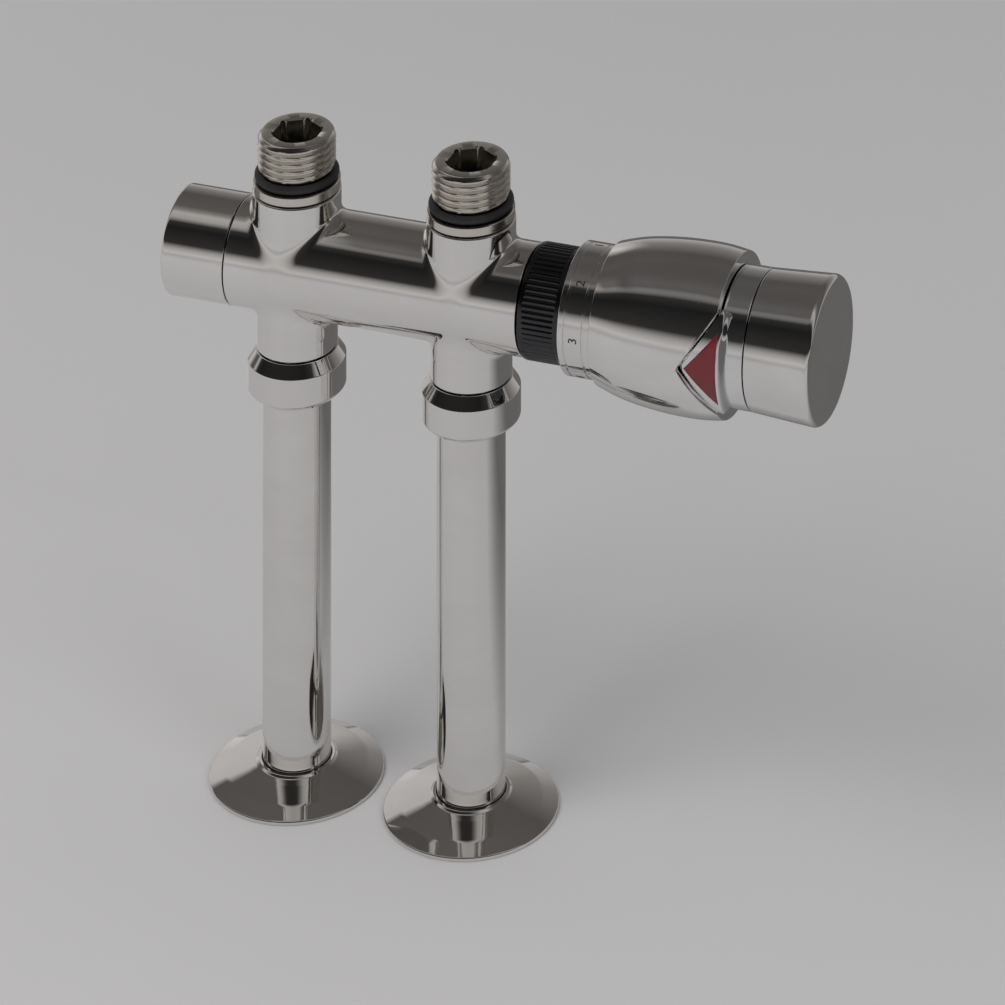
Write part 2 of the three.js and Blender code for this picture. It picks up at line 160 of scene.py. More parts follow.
def plated(dark, light, r0, r1, wave=0.00002, speck=0.35):
    """Polished plate: faint waviness, hand smears in the roughness and a few dull specks of lime."""
    def build(n, bsdf, pos):
        smear = n.noise(n.stretch(pos, (0.6, 1, 1.4)), 55, 4, 0.6, 0.6)
        fine = n.noise(pos, 900, 3, 0.6)
        spots = n.math("SMOOTH_MAX", n.math("SUBTRACT", n.noise(pos, 420, 1, 0.4), 0.70), 0.0, 0.01)
        spots = n.math("MULTIPLY", spots, speck * 6, clamp=True)
        n.link(n.ramp(smear, [(0.3, dark), (0.7, light)]), bsdf.inputs["Base Color"])
        r = n.math("MULTIPLY_ADD", n.math("SUBTRACT", smear, 0.42, clamp=True), (r1 - r0) * 3.0, r0)
        r = n.math("ADD", r, n.math("MULTIPLY", fine, 0.012))
        r = n.math("ADD", r, n.math("MULTIPLY", spots, 0.25), clamp=True)
        n.link(r, bsdf.inputs["Roughness"])
        bsdf.inputs["Metallic"].default_value = 1.0
        wavy = n.noise(pos, 38, 2, 0.5)
        bump(n, bsdf, wavy, wave, 0.6)
    return build


def turned_metal(dark, light, r0, pitch, axis, wave=0.00002):
    """Machined metal: fine rings left by the tool and a slight tarnish."""
    def build(n, bsdf, pos):
        stain = n.noise(pos, 130, 4, 0.6)
        n.link(n.ramp(stain, [(0.3, dark), (0.7, light)]), bsdf.inputs["Base Color"])
        s = (1.0 / pitch, 30, 30) if axis == "x" else (30, 30, 1.0 / pitch)
        rings = n.noise(n.stretch(pos, s), 1.0, 2, 0.7)
        n.link(n.math("MULTIPLY_ADD", rings, 0.12, r0), bsdf.inputs["Roughness"])
        bsdf.inputs["Metallic"].default_value = 1.0
        bump(n, bsdf, rings, wave, 0.5)
    return build


def moulded(dark, light, r0, grain=2600, depth=0.00002, coat=0.0):
    """Moulded plastic or rubber: fine spark-eroded grain and slight colour drift."""
    def build(n, bsdf, pos):
        drift = n.noise(pos, 70, 3, 0.6)
        fine = n.noise(pos, grain, 3, 0.6)
        n.link(n.ramp(drift, [(0.3, dark), (0.7, light)]), bsdf.inputs["Base Color"])
        n.link(n.math("MULTIPLY_ADD", fine, 0.12, r0), bsdf.inputs["Roughness"])
        bsdf.inputs["Coat Weight"].default_value = coat
        bsdf.inputs["Coat Roughness"].default_value = 0.08
        bump(n, bsdf, fine, depth, 0.5)
    return build


MAT = {
    "chrome": material("chrome_plate", plated((0.80, 0.785, 0.77), (0.86, 0.85, 0.84), 0.025, 0.07)),
    "chrome_head": material("chrome_head_plate", plated((0.79, 0.78, 0.77), (0.85, 0.845, 0.84), 0.035, 0.08)),
    "nickel": material("nickel_plate", plated((0.66, 0.63, 0.57), (0.74, 0.71, 0.66), 0.16, 0.30, 0.00003, 0.6)),
    "graphite": material("graphite_plate", plated((0.055, 0.055, 0.06), (0.085, 0.085, 0.09), 0.22, 0.34, 0.00002, 0.5)),
    "brass_x": material("brass_turned_x", turned_metal((0.62, 0.43, 0.18), (0.74, 0.55, 0.27), 0.20, 0.00025, "x")),
    "brass_z": material("brass_turned_z", turned_metal((0.62, 0.43, 0.18), (0.74, 0.55, 0.27), 0.20, 0.00025, "z")),
    "steel_x": material("steel_turned_x", turned_metal((0.52, 0.53, 0.54), (0.63, 0.64, 0.65), 0.18, 0.0002, "x")),
    "copper_x": material("copper_drawn_x", turned_metal((0.68, 0.34, 0.20), (0.80, 0.46, 0.30), 0.24, 0.0006, "x")),
    "copper_z": material("copper_drawn_z", turned_metal((0.62, 0.30, 0.17), (0.78, 0.44, 0.28), 0.26, 0.004, "z")),
    "rubber": material("epdm_rubber", moulded((0.012, 0.012, 0.013), (0.026, 0.026, 0.027), 0.50, 1800, 0.00004)),
    "chrome_ring": material("chrome_ring_plate", plated((0.78, 0.79, 0.80), (0.85, 0.86, 0.87), 0.03, 0.07)),
    "dark_red": material("dark_red_inlay", moulded((0.13, 0.008, 0.012), (0.19, 0.012, 0.016), 0.24, 2400, 0.00001, 0.4)),
    "white_plastic": material("white_plastic", moulded((0.66, 0.66, 0.64), (0.74, 0.74, 0.72), 0.38)),
    "black_plastic": material("black_plastic", moulded((0.018, 0.018, 0.020), (0.034, 0.034, 0.036), 0.36)),
    "ink": material("numeral_ink", moulded((0.018, 0.018, 0.020), (0.030, 0.030, 0.032), 0.32)),
}

# ---------------------------------------------------------------------------------------------
# Mesh tools. Lengths are in millimetres until the mesh is made.
# ---------------------------------------------------------------------------------------------


def outward(verts, faces):
    """Turns the faces over if the closed mesh is inside out."""
    v = np.asarray(verts, float)
    total = 0.0
    by = {}
    for f in faces:
        by.setdefault(len(f), []).append(f)
    for k, fs in by.items():
        a = np.asarray(fs)
        for i in range(1, k - 1):
            total += np.einsum("ij,ij->i", v[a[:, 0]], np.cross(v[a[:, i]], v[a[:, i + 1]])).sum()
    return faces if total > 0 else [tuple(reversed(f)) for f in faces]


def piece(name, verts, faces, mat, body, nodes=(), normals=None, sharp=34.0, flip=True):
    verts = np.asarray(verts, float)
    faces = [tuple(int(i) for i in f) for f in faces]
    if flip:
        faces = outward(verts, faces)
    me = bpy.data.meshes.new(name)
    me.from_pydata((verts * MM).tolist(), [], faces)
    me.polygons.foreach_set("use_smooth", [True] * len(me.polygons))
    me.update()
    ob = bpy.data.objects.new(name, me)
    scene.collection.objects.link(ob)
    me.materials.append(MAT[mat])
    if normals is not None:
        me.normals_split_custom_set_from_vertices([tuple(x) for x in normals])
    else:
        me.set_sharp_from_angle(angle=math.radians(sharp))
    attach(ob, body)
    if nodes:
        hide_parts(*nodes)
    return ob


def rounded(points, loop, steps=6, support=0.1):
    """Polyline of (along, radius[, rounding]) with its corners turned into arcs, and support points beside them."""
    n = len(points)
    out = []
    for i, p in enumerate(points):
        f = p[2] if len(p) > 2 else 0.0
        c = np.array(p[:2], float)
        if f <= 0 or (not loop and i in (0, n - 1)):
            out.append(c)
            continue
        a, b = np.array(points[i - 1][:2], float) - c, np.array(points[(i + 1) % n][:2], float) - c
        la, lb = np.linalg.norm(a), np.linalg.norm(b)
        a, b = a / la, b / lb
        ang = math.acos(max(-1, min(1, float(a @ b))))
        t = min(f / math.tan(ang / 2), 0.49 * la, 0.49 * lb)
        r = t * math.tan(ang / 2)
        mid = (a + b) / np.linalg.norm(a + b)
        o = c + mid * r / math.sin(ang / 2)
        s, e = c + a * t - o, c + b * t - o
        a0, a1 = math.atan2(s[1], s[0]), math.atan2(e[1], e[0])
        d = (a1 - a0 + math.pi) % (2 * math.pi) - math.pi
        for k in range(steps + 1):
            q = a0 + d * k / steps
            out.append(o + r * np.array([math.cos(q), math.sin(q)]))
    full = []
    m = len(out)
    for i in range(m if loop else m - 1):
        p, q = out[i], out[(i + 1) % m]
        full.append(p)
        length = np.linalg.norm(q - p)
        if length > max(4 * support, 0.9):
            full.append(p + (q - p) * support / length)
            full.append(q - (q - p) * support / length)
    if not loop:
        full.append(out[-1])
    return [(float(p[0]), max(0.0, float(p[1]))) for p in full]


def frame_point(axis, centre, along, r, t):
    """Point at an angle t round the X axis (0 at the front, positive downwards) or round the Z axis."""
    if axis == "x":
        return np.stack([OX + centre[0] + along, -r * np.cos(t), AZ + centre[1] - r * np.sin(t)], -1)
    return np.stack([OX + centre[0] + r * np.cos(t), r * np.sin(t), centre[1] + along], -1)


def lathe(points, axis="x", centre=(0, 0), segs=128):
    """Turned mesh. points start and end on the axis, or are a ring section."""
    loop = points[0][1] > 1e-6
    verts, index = [], []
    t = np.arange(segs) * 2 * math.pi / segs
    count = 0
    for a, r in points:
        if r < 1e-6:
            verts.append(frame_point(axis, centre, np.array([a]), np.array([0.0]), np.array([0.0])))
            index.append([count])
            count += 1
        else:
            verts.append(frame_point(axis, centre, np.full(segs, a), np.full(segs, r), t))
            index.append(list(range(count, count + segs)))
            count += segs
    faces = []
    rows = len(points)
    for i in range(rows if loop else rows - 1):
        p, q = index[i], index[(i + 1) % rows]
        for k in range(segs):
            k2 = (k + 1) % segs
            if len(p) == 1 and len(q) == 1:
                break
            if len(p) == 1:
                faces.append((p[0], q[k], q[k2]))
            elif len(q) == 1:
                faces.append((p[k], q[0], p[k2]))
            else:
                faces.append((p[k], q[k], q[k2], p[k2]))
    return np.concatenate(verts), faces


def turned(name, nodes, body, mat, points, axis="x", centre=(0, 0), segs=128, steps=6, support=0.1):
    loop = points[0][1] > 1e-6
    v, f = lathe(rounded(points, loop, steps, support), axis, centre, segs)
    return piece(name, v, f, mat, body, nodes)


def sheet(P, wrap_rows=False, wrap_cols=True, base=0):
    """Quads over a grid of points, and the points as a list."""
    rows, cols = P.shape[:2]
    idx = np.arange(rows * cols).reshape(rows, cols) + base
    faces = []
    for i in range(rows if wrap_rows else rows - 1):
        a, b = idx[i], idx[(i + 1) % rows]
        for k in range(cols if wrap_cols else cols - 1):
            k2 = (k + 1) % cols
            faces.append((a[k], b[k], b[k2], a[k2]))
    return P.reshape(-1, 3), faces


def merge(*parts):
    vs, fs, n = [], [], 0
    for v, f in parts:
        vs.append(np.asarray(v))
        fs += [tuple(i + n for i in face) for face in f]
        n += len(v)
    return np.concatenate(vs), fs


def threaded(a0, a1, r, depth, pitch, inner, axis="x", centre=(0, 0), cols=96, per=10, chamfer=0.9):
    """Male thread: a helical ridge between a0 and a1 on a hollow core."""
    n = max(8, int(round((a1 - a0) / pitch * per)))
    along = np.linspace(a0, a1, n + 1)
    t = np.arange(cols) * 2 * math.pi / cols
    A, T = np.meshgrid(along, t, indexing="ij")
    ph = (A / pitch - T / (2 * math.pi)) % 1.0
    tri = 1 - np.abs(2 * ph - 1)
    prof = np.clip((tri - 0.12) / 0.7, 0, 1)
    R = r - depth * (1 - prof)
    edge = np.minimum(A - a0, a1 - A)
    R = np.minimum(R, r - np.clip(chamfer - edge, 0, None) * 0.8)
    P = [frame_point(axis, centre, A[i], R[i], t) for i in range(n + 1)]
    for a in (a1, a0):
        P.append(frame_point(axis, centre, np.full(cols, a), np.full(cols, inner), t))
    return sheet(np.array(P), wrap_rows=True)


def torus_ring(name, nodes, body, at, major, minor, axis="x", centre=(0, 0), segs=96, mat="rubber"):
    pts = [(at + minor * math.cos(k * math.pi / 8), major + minor * math.sin(k * math.pi / 8)) for k in range(16)]
    v, f = lathe(pts, axis, centre, segs)
    return piece(name, v, f, mat, body, nodes, sharp=80)


def capped_sheet(P):
    """Grid of rows closed at both ends with a flat face."""
    v, f = sheet(P)
    n = P.shape[1]
    last = len(v) - n
    f = f + [tuple(range(n))[::-1], tuple(range(last, last + n))]
    return v, outward(v, f)


def sector(a0, a1, r0, r1, t0, t1, edge=0.12, steps=24):
    """Block bent round the X axis between two angles, with small rounded edges."""
    section = np.array(rounded([(a0, r0, edge), (a0, r1, edge), (a1, r1, edge), (a1, r0, edge)], True, 3, 0.05))
    t = np.radians(np.linspace(t0, t1, steps + 1))
    return capped_sheet(np.array([frame_point("x", (0, 0), section[:, 0], section[:, 1], np.full(len(section), q)) for q in t]))


def helix(name, nodes, body, a0, a1, radius, wire, turns, mat="steel_x", per=40, ring=12):
    n = int(turns * per)
    s = np.linspace(0, 1, n + 1)
    # the coils are spaced evenly from one end to the other
    ease = np.clip((s - 0.0) / 1.0, 0, 1)
    ang = s * turns * 2 * math.pi
    x = a0 + wire + (a1 - a0 - 2 * wire) * ease
    c = np.stack([x, -radius * np.cos(ang), -radius * np.sin(ang)], -1)
    tan = np.gradient(c, axis=0)
    tan /= np.linalg.norm(tan, axis=1)[:, None]
    rad = np.stack([np.zeros_like(x), -np.cos(ang), -np.sin(ang)], -1)
    bi = np.cross(tan, rad)
    q = np.arange(ring) * 2 * math.pi / ring
    P = c[:, None] + wire * (rad[:, None] * np.cos(q)[None, :, None] + bi[:, None] * np.sin(q)[None, :, None])
    P[..., 0] += OX
    P[..., 2] += AZ
    v, f = capped_sheet(P)
    return piece(name, v, f, mat, body, nodes, sharp=60)


# ---------------------------------------------------------------------------------------------
# Valve body: cylinder and branches run into each other with small cast fillets
# ---------------------------------------------------------------------------------------------


def capped(p, axis, c, r, a0, a1, edge):
    """Distance to a cylinder with rounded rims."""
    if axis == "x":
        rad = np.hypot(p[..., 1], p[..., 2])
        along = p[..., 0]
    else:
        rad = np.hypot(p[..., 0] - c, p[..., 1])
        along = p[..., 2]
    d0 = rad - r + edge
    d1 = np.abs(along - (a0 + a1) / 2) - (a1 - a0) / 2 + edge
    return np.minimum(np.maximum(d0, d1), 0) + np.hypot(np.maximum(d0, 0), np.maximum(d1, 0)) - edge


def soft_union(a, b, k):
    h = np.clip(0.5 + 0.5 * (b - a) / k, 0, 1)
    return b * (1 - h) + a * h - k * h * (1 - h)


def rod(p, axis, c, r, a0, a1):
    """Distance to a plain cylinder."""
    rad = np.hypot(p[..., 1], p[..., 2]) if axis == "x" else np.hypot(p[..., 0] - c, p[..., 1])
    along = p[..., 0] if axis == "x" else p[..., 2]
    return np.maximum(rad - r, np.abs(along - (a0 + a1) / 2) - (a1 - a0) / 2)


def slanted(p, x0, z0, x1, z1, r):
    """Distance to a drilled passage in the middle plane, with round ends."""
    d = np.array([x1 - x0, z1 - z0])
    h = np.clip(((p[..., 0] - x0) * d[0] + (p[..., 2] - z0) * d[1]) / (d @ d), 0, 1)
    return np.sqrt((p[..., 0] - x0 - h * d[0]) ** 2 + p[..., 1] ** 2 + (p[..., 2] - z0 - h * d[1]) ** 2) - r


def chambers(p):
    """Feed chamber on the right, return chamber on the left, a raised seat in each, and the ports."""
    d = np.maximum(rod(p, "x", 0, 8.0, 20.5, 70), -rod(p, "x", 0, 6.3, 15, 22.0))
    d = np.minimum(d, np.maximum(rod(p, "x", 0, 7.5, -70, -20.5), -rod(p, "x", 0, 6.3, -22.0, -15)))
    for s, x in ((-1, PIPES["left"]), (1, PIPES["right"])):
        d = np.minimum(d, rod(p, "x", 0, 5.0, *sorted((s * 9.0, s * 23.0))))
        d = np.minimum(d, rod(p, "z", x, 5.0, -30, -2))
        d = np.minimum(d, rod(p, "z", x, 7.8, -40, -16))
        d = np.minimum(d, rod(p, "z", x, 7.9, 11.3, 30))
        d = np.minimum(d, slanted(p, s * 13.3, 0, s * 19.2, 14.5, 2.8))
    return d


def body_field(p):
    d = capped(p, "x", 0, 13.5, -40.2, 43.0, 0.35)
    for x in PIPES.values():
        d = soft_union(d, capped(p, "z", x, 11.75, -4.0, 19.0, 0.5), 1.7)
        d = soft_union(d, capped(p, "z", x, 10.75, -22.0, 4.0, 0.4), 1.7)
    return -soft_union(-d, chambers(p), 0.3)


def axis_lines(spans):
    """Grid lines with a fine step near the rims and a coarser step between them."""
    out = [spans[0][0]]
    for a, b, step in spans:
        n = max(1, int(round((b - a) / step)))
        out += list(np.linspace(a, b, n + 1)[1:])
    return np.array(out)


def surface_net(field, xs, ys, zs):
    G = np.stack(np.meshgrid(xs, ys, zs, indexing="ij"), -1)
    F = field(G)
    inside = F < 0
    nx, ny, nz = F.shape
    corners = [(i, j, k) for i in (0, 1) for j in (0, 1) for k in (0, 1)]
    view = lambda A, o: A[o[0]:nx - 1 + o[0], o[1]:ny - 1 + o[1], o[2]:nz - 1 + o[2]]
    total = sum(view(inside, o).astype(np.int8) for o in corners)
    mixed = (total > 0) & (total < 8)
    cells = np.argwhere(mixed)
    idx = -np.ones(mixed.shape, int)
    idx[tuple(cells.T)] = np.arange(len(cells))
    acc, cnt = np.zeros((len(cells), 3)), np.zeros(len(cells))
    for a in corners:
        for axis in range(3):
            if a[axis]:
                continue
            b = list(a)
            b[axis] = 1
            ia, ib = tuple((cells + a).T), tuple((cells + b).T)
            fa, fb = F[ia], F[ib]
            hit = (fa < 0) != (fb < 0)
            w = np.where(hit, fa / np.where(hit, fa - fb, 1), 0)
            pt = G[ia] * (1 - w[:, None]) + G[ib] * w[:, None]
            acc += np.where(hit[:, None], pt, 0)
            cnt += hit
    verts = acc / cnt[:, None]
    faces = []
    for axis in range(3):
        lo, hi = [slice(1, None)] * 3, [slice(1, None)] * 3
        u, v = [k for k in range(3) if k != axis]
        sl = [slice(1, -1)] * 3
        sl[axis] = slice(0, -1)
        sh = list(sl)
        sh[axis] = slice(1, None)
        a, b = inside[tuple(sl)], inside[tuple(sh)]
        hit = np.argwhere(a != b)
        off = np.array([1, 1, 1])
        off[axis] = 0
        base = hit + off
        eu, ev = np.zeros(3, int), np.zeros(3, int)
        eu[u], ev[v] = 1, 1
        quad = [idx[tuple((base - du * eu - dv * ev).T)] for du, dv in ((0, 0), (1, 0), (1, 1), (0, 1))]
        q = np.stack(quad, -1)
        flip = a[tuple(hit.T)]
        if axis == 1:
            flip = ~flip
        q[flip] = q[flip][:, ::-1]
        faces.append(q)
    return verts, np.concatenate(faces)


def gradient(field, p, h=1e-3):
    g = np.zeros_like(p)
    for k in range(3):
        e = np.zeros(3)
        e[k] = h
        g[:, k] = (field(p + e) - field(p - e)) / (2 * h)
    return g


def make_body():
    step = 0.95
    side = [(12, 19.6, step * 0.75), (19.6, 23.2, 0.3), (23.2, 37.5, step * 0.75), (37.5, 42.1, 0.6), (42.1, 43.7, 0.16)]
    xs = axis_lines([(-40.9, -39.3, 0.16), (-39.3, -37.5, 0.5), (-37.5, -23.2, step * 0.75), (-23.2, -19.6, 0.3), (-19.6, -12, step * 0.75), (-12, 12, step)] + side)
    ys = axis_lines([(-14.3, 14.3, 0.62)])
    zs = axis_lines([(-22.7, -21.1, 0.16), (-21.1, -16.8, 0.6), (-16.8, -15.2, 0.3), (-15.2, -12.5, 0.6), (-12.5, -7.0, 0.42), (-7.0, 7.0, 0.62), (7.0, 10.6, 0.42),
                     (10.6, 12.0, 0.25), (12.0, 13.5, 0.42), (13.5, 18.0, 0.6), (18.0, 19.7, 0.16)])
    v, f = surface_net(body_field, xs, ys, zs)
    for _ in range(5):
        g = gradient(body_field, v)
        v = v - (body_field(v) / np.maximum((g * g).sum(1), 1e-6))[:, None] * g
    n = gradient(body_field, v)
    n /= np.linalg.norm(n, axis=1)[:, None]
    v = v + np.array([OX, 0, AZ])
    faces = [tuple(q) for q in f]
    return v, faces, n


v, f, nrm = make_body()
f = outward(v, f)
shell = piece("valve_body_casting", v, f, "chrome", "valve", ["valve_body"], normals=nrm, flip=False)

# cap spigot with its O-ring groove, and the bored end that holds the bonnet
turned("valve_body_cap_spigot", [], "valve", "nickel", [
    (-39.6, 7.5), (-39.6, 11.2), (-45.2, 11.2, 0.15), (-45.2, 10.0, 0.2), (-47.6, 10.0, 0.2), (-47.6, 11.2, 0.15), (-53, 11.2, 0.6), (-53, 7.5, 0.3)])
v, f = threaded(42.6, 52.0, 10.8, 0.75, 1.5, 8.0)
piece("valve_body_head_spigot", v, f, "nickel", "valve")
for side, x in PIPES.items():
    v, f = threaded(AZ - 26.7, AZ - 21.4, 9.5, 0.6, 1.5, 7.8, "z", (x, 0))
    piece("valve_body_pipe_stub_" + side, v, f, "nickel", "valve")

# ---------------------------------------------------------------------------------------------
# Return shut-off under the cover cap
# ---------------------------------------------------------------------------------------------

turned("shutoff_cover_cap_shell", ["shutoff_cover_cap"], "cover_cap", "chrome", [
    (-58.5, 0), (-58.5, 13.5, 0.9), (-40.5, 13.5, 0.3), (-40.5, 11.5, 0.2), (-56.6, 11.5, 0.5), (-56.6, 0)], segs=160)
torus_ring("cap_o_ring_seal", ["cap_o_ring"], "valve", -46.4, 10.75, 0.62)


def hex_headed(name, node, body, mat, a_in, a_out, r_in, hex_from, hex_to, flats, bore, segs=96):
    """Round shank with a chamfered hexagon head at the outer end, bored through, all round the X axis."""
    t = np.arange(segs) * 2 * math.pi / segs
    step = math.pi / 3
    hexr = flats / 2 / np.cos((t + step / 2) % step - step / 2)
    sgn = 1 if hex_to > hex_from else -1
    corner = flats / math.sqrt(3)
    rows = [(a_in, np.full(segs, bore)), (a_in, np.full(segs, r_in - 0.4)), (a_in + sgn * 0.4, np.full(segs, r_in)),
            (hex_from - sgn * 0.02, np.full(segs, r_in)), (hex_from, hexr * 0.995)]
    for k in range(5):
        a = hex_to - sgn * 0.9 * (1 - k / 4)
        lim = corner - (corner - flats / 2 * 0.97) * (k / 4) ** 2
        rows.append((a, np.minimum(hexr, lim)))
    rows += [(hex_to, np.full(segs, bore + 0.3)), (hex_to - sgn * 0.3, np.full(segs, bore))]
    P = np.array([frame_point("x", (0, 0), np.full(segs, a), r, t) for a, r in rows])
    v, f = sheet(P, wrap_rows=True)
    return piece(name, v, f, mat, body, [node], sharp=28)


hex_headed("shutoff_bonnet_nut", "shutoff_bonnet", "valve", "brass_x", -36, -53.6, 7.2, -53.3, -55.4, 17, 4.4)


def socket_spindle():
    segs = 72
    t = np.arange(segs) * 2 * math.pi / segs
    step = math.pi / 3
    hexr = 2.5 / np.cos((t + step / 2) % step - step / 2)
    c = lambda r: np.full(segs, r)
    rows = [(-29.2, c(1.9)), (-29.5, c(2.2)), (-33.0, c(2.2)), (-33.0, c(3.8)), (-33.3, c(4.1)), (-40.2, c(4.1)), (-40.2, c(3.1)),
            (-42.2, c(3.1)), (-42.2, c(4.1)), (-50.7, c(4.1)), (-51.0, c(3.8)), (-51.0, np.maximum(hexr, 2.95)), (-50.6, hexr), (-45.5, hexr)]
    return capped_sheet(np.array([frame_point("x", (0, 0), np.full(segs, a), r, t) for a, r in rows]))


v, f = socket_spindle()
piece("shutoff_spindle_stem", v, f, "brass_x", "shutoff_stem", ["shutoff_spindle"], sharp=28)
torus_ring("shutoff_o_ring_seal", ["shutoff_o_ring"], "shutoff_stem", -41.2, 3.7, 0.45, segs=64)
turned("shutoff_cone_plug", ["shutoff_cone"], "shutoff_plug", "brass_x", [
    (-24.9, 0), (-24.9, 2, 0.2), (-26.5, 2), (-26.5, 6.9, 0.2), (-28.6, 6.9, 0.2), (-28.6, 3.8, 0.2), (-32.7, 3.8, 0.3), (-32.7, 2.5, 0.1), (-28.9, 2.5), (-28.9, 0)], segs=96)
turned("shutoff_washer_seal", ["shutoff_washer"], "shutoff_plug", "rubber", [(-26.2, 2.4), (-26.2, 6.8, 0.2), (-24.7, 6.8, 0.25), (-24.7, 2.4)], segs=96)

# ---------------------------------------------------------------------------------------------
# Thermostatic insert
# ---------------------------------------------------------------------------------------------

turned("insert_body_barrel", ["insert_body"], "valve", "brass_x", [
    (33, 1.85), (33, 7.7, 0.6), (37, 7.7, 0.1), (37, 6.6, 0.1), (39.2, 6.6, 0.1), (39.2, 7.7, 0.1), (51.6, 7.7, 0.3), (51.6, 5, 0.2), (36, 5, 0.2), (36, 1.85)], segs=96)
torus_ring("insert_o_ring_seal", ["insert_o_ring"], "valve", 38.1, 7.32, 0.45)
hex_headed("gland_nut_hex", "gland_nut", "valve", "brass_x", 46.8, 52, 4.7, 52, 54.5, 12.5, 1.9, 72)
torus_ring("gland_o_ring_seal", ["gland_o_ring"], "valve", 47.7, 2.22, 0.36, segs=48)
turned("valve_spindle_pin", ["valve_spindle"], "valve_pin", "steel_x", [
    (28, 0), (28, 1.5, 0.1), (44.3, 1.5), (44.3, 4.2, 0.15), (45.3, 4.2, 0.15), (45.3, 1.5), (56.5, 1.5, 0.5), (56.5, 0)], segs=64)
turned("valve_disc_plate", ["valve_disc"], "valve_pin", "brass_x", [
    (24.4, 0), (24.4, 1.6, 0.2), (26, 1.6), (26, 6.6, 0.2), (27.2, 6.6, 0.2), (27.2, 2.8), (30, 2.8, 0.2), (30, 1.85), (27.7, 1.85), (27.7, 0)], segs=96)
turned("disc_washer_seal", ["disc_washer"], "valve_pin", "rubber", [(24.2, 1.95), (24.2, 6.9, 0.25), (25.7, 6.9, 0.25), (25.7, 1.95)], segs=96)
spring = helix("return_spring_coil", ["return_spring"], "valve", 36.4, 43.9, 3.3, 0.4, 5)
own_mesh(spring)

# ---------------------------------------------------------------------------------------------
# Head: fixed part
# ---------------------------------------------------------------------------------------------


def knurled(name, node, body, mat, a0, a1, r, r_in, lip_from, lip_r, flutes=60, depth=0.28):
    per = 8
    segs = flutes * per
    t = np.arange(segs) * 2 * math.pi / segs
    cut = np.abs(np.sin(flutes * t / 2)) ** 0.75
    c = lambda x: np.full(segs, x)
    rows = [(a0, c(r_in)), (a0, c(r - 0.75)), (a0 + 0.1, c(r - 0.45)), (a0 + 0.45, c(r - 0.06)), (a0 + 0.75, c(r)), (a0 + 1.3, c(r)), (a0 + 1.45, c(r - 0.05)),
            (a0 + 1.8, r - depth * (1 - cut)), (a0 + 2.1, r - depth * (1 - cut)), (a1 - 2.1, r - depth * (1 - cut)), (a1 - 1.8, r - depth * (1 - cut)),
            (a1 - 1.45, c(r - 0.05)), (a1 - 1.3, c(r)), (a1 - 0.75, c(r)), (a1 - 0.45, c(r - 0.06)), (a1 - 0.1, c(r - 0.45)), (a1, c(r - 0.75)),
            (a1, c(lip_r)), (lip_from, c(lip_r)), (lip_from, c(r_in))]
    P = np.array([frame_point("x", (0, 0), np.full(segs, a), x, t) for a, x in rows])
    v, f = sheet(P, wrap_rows=True)
    return piece(name, v, f, mat, body, [node], sharp=30)


knurled("union_nut_collar", "union_nut", "union_nut", "graphite", 43.3, 55.3, 13.9, 11.1, 53.9, 9.5)

turned("base_ring_band", ["base_ring"], "head", "chrome_head", [
    (55.6, 12.3), (55.6, 15.8, 0.35), (57.25, 15.8, 0.08), (57.4, 15.45, 0.05), (57.7, 15.45, 0.05), (57.85, 15.8, 0.08),
    (62.25, 15.8, 0.08), (62.4, 15.45, 0.05), (62.7, 15.45, 0.05), (62.85, 15.8, 0.08), (64.5, 15.8, 0.35), (64.5, 12.3)], segs=160, support=0.06)

# setting scale: frost mark and the numbers 0 to 5 round the ring, read against the arrow
SCALE = [("0", -200), ("*", -150), ("1", -100), ("2", -50), ("3", 0), ("4", 50), ("5", 100)]


def numeral(text, angle, size=3.3, at=60.05, r=15.8):
    cu = bpy.data.curves.new("numeral", "FONT")
    cu.body, cu.size, cu.align_x, cu.align_y = text, size, "CENTER", "CENTER"
    cu.extrude, cu.offset, cu.resolution_u = 0.05, 0.02, 6
    tmp = bpy.data.objects.new("numeral", cu)
    scene.collection.objects.link(tmp)
    bpy.context.view_layer.update()
    me = bpy.data.meshes.new_from_object(tmp.evaluated_get(bpy.context.evaluated_depsgraph_get()))
    bpy.data.objects.remove(tmp)
    # the outline's front, side and back share their points, so that each figure is a closed body
    seen, keep, same = {}, [], []
    for x in me.vertices:
        key = tuple(round(c, 4) for c in x.co)
        if key not in seen:
            seen[key] = len(keep)
            keep.append(key)
        same.append(seen[key])
    co = np.array(keep, float)
    faces = [tuple(dict.fromkeys(same[i] for i in p.vertices)) for p in me.polygons]
    faces = [q for q in faces if len(q) > 2]
    if text == "*":
        co[:, 1] -= co[:, 1].mean()
    co[:, 0] -= (co[:, 0].min() + co[:, 0].max()) / 2
    co[:, 1] -= (co[:, 1].min() + co[:, 1].max()) / 2
    t = math.radians(angle) - co[:, 0] / r
    return frame_point("x", (0, 0), at - co[:, 1], r + co[:, 2] - 0.005, t), faces


v, f = merge(*[numeral(s, a) for s, a in SCALE])
marks = piece("base_ring_numerals", v, f, "ink", "head", flip=False, sharp=30)


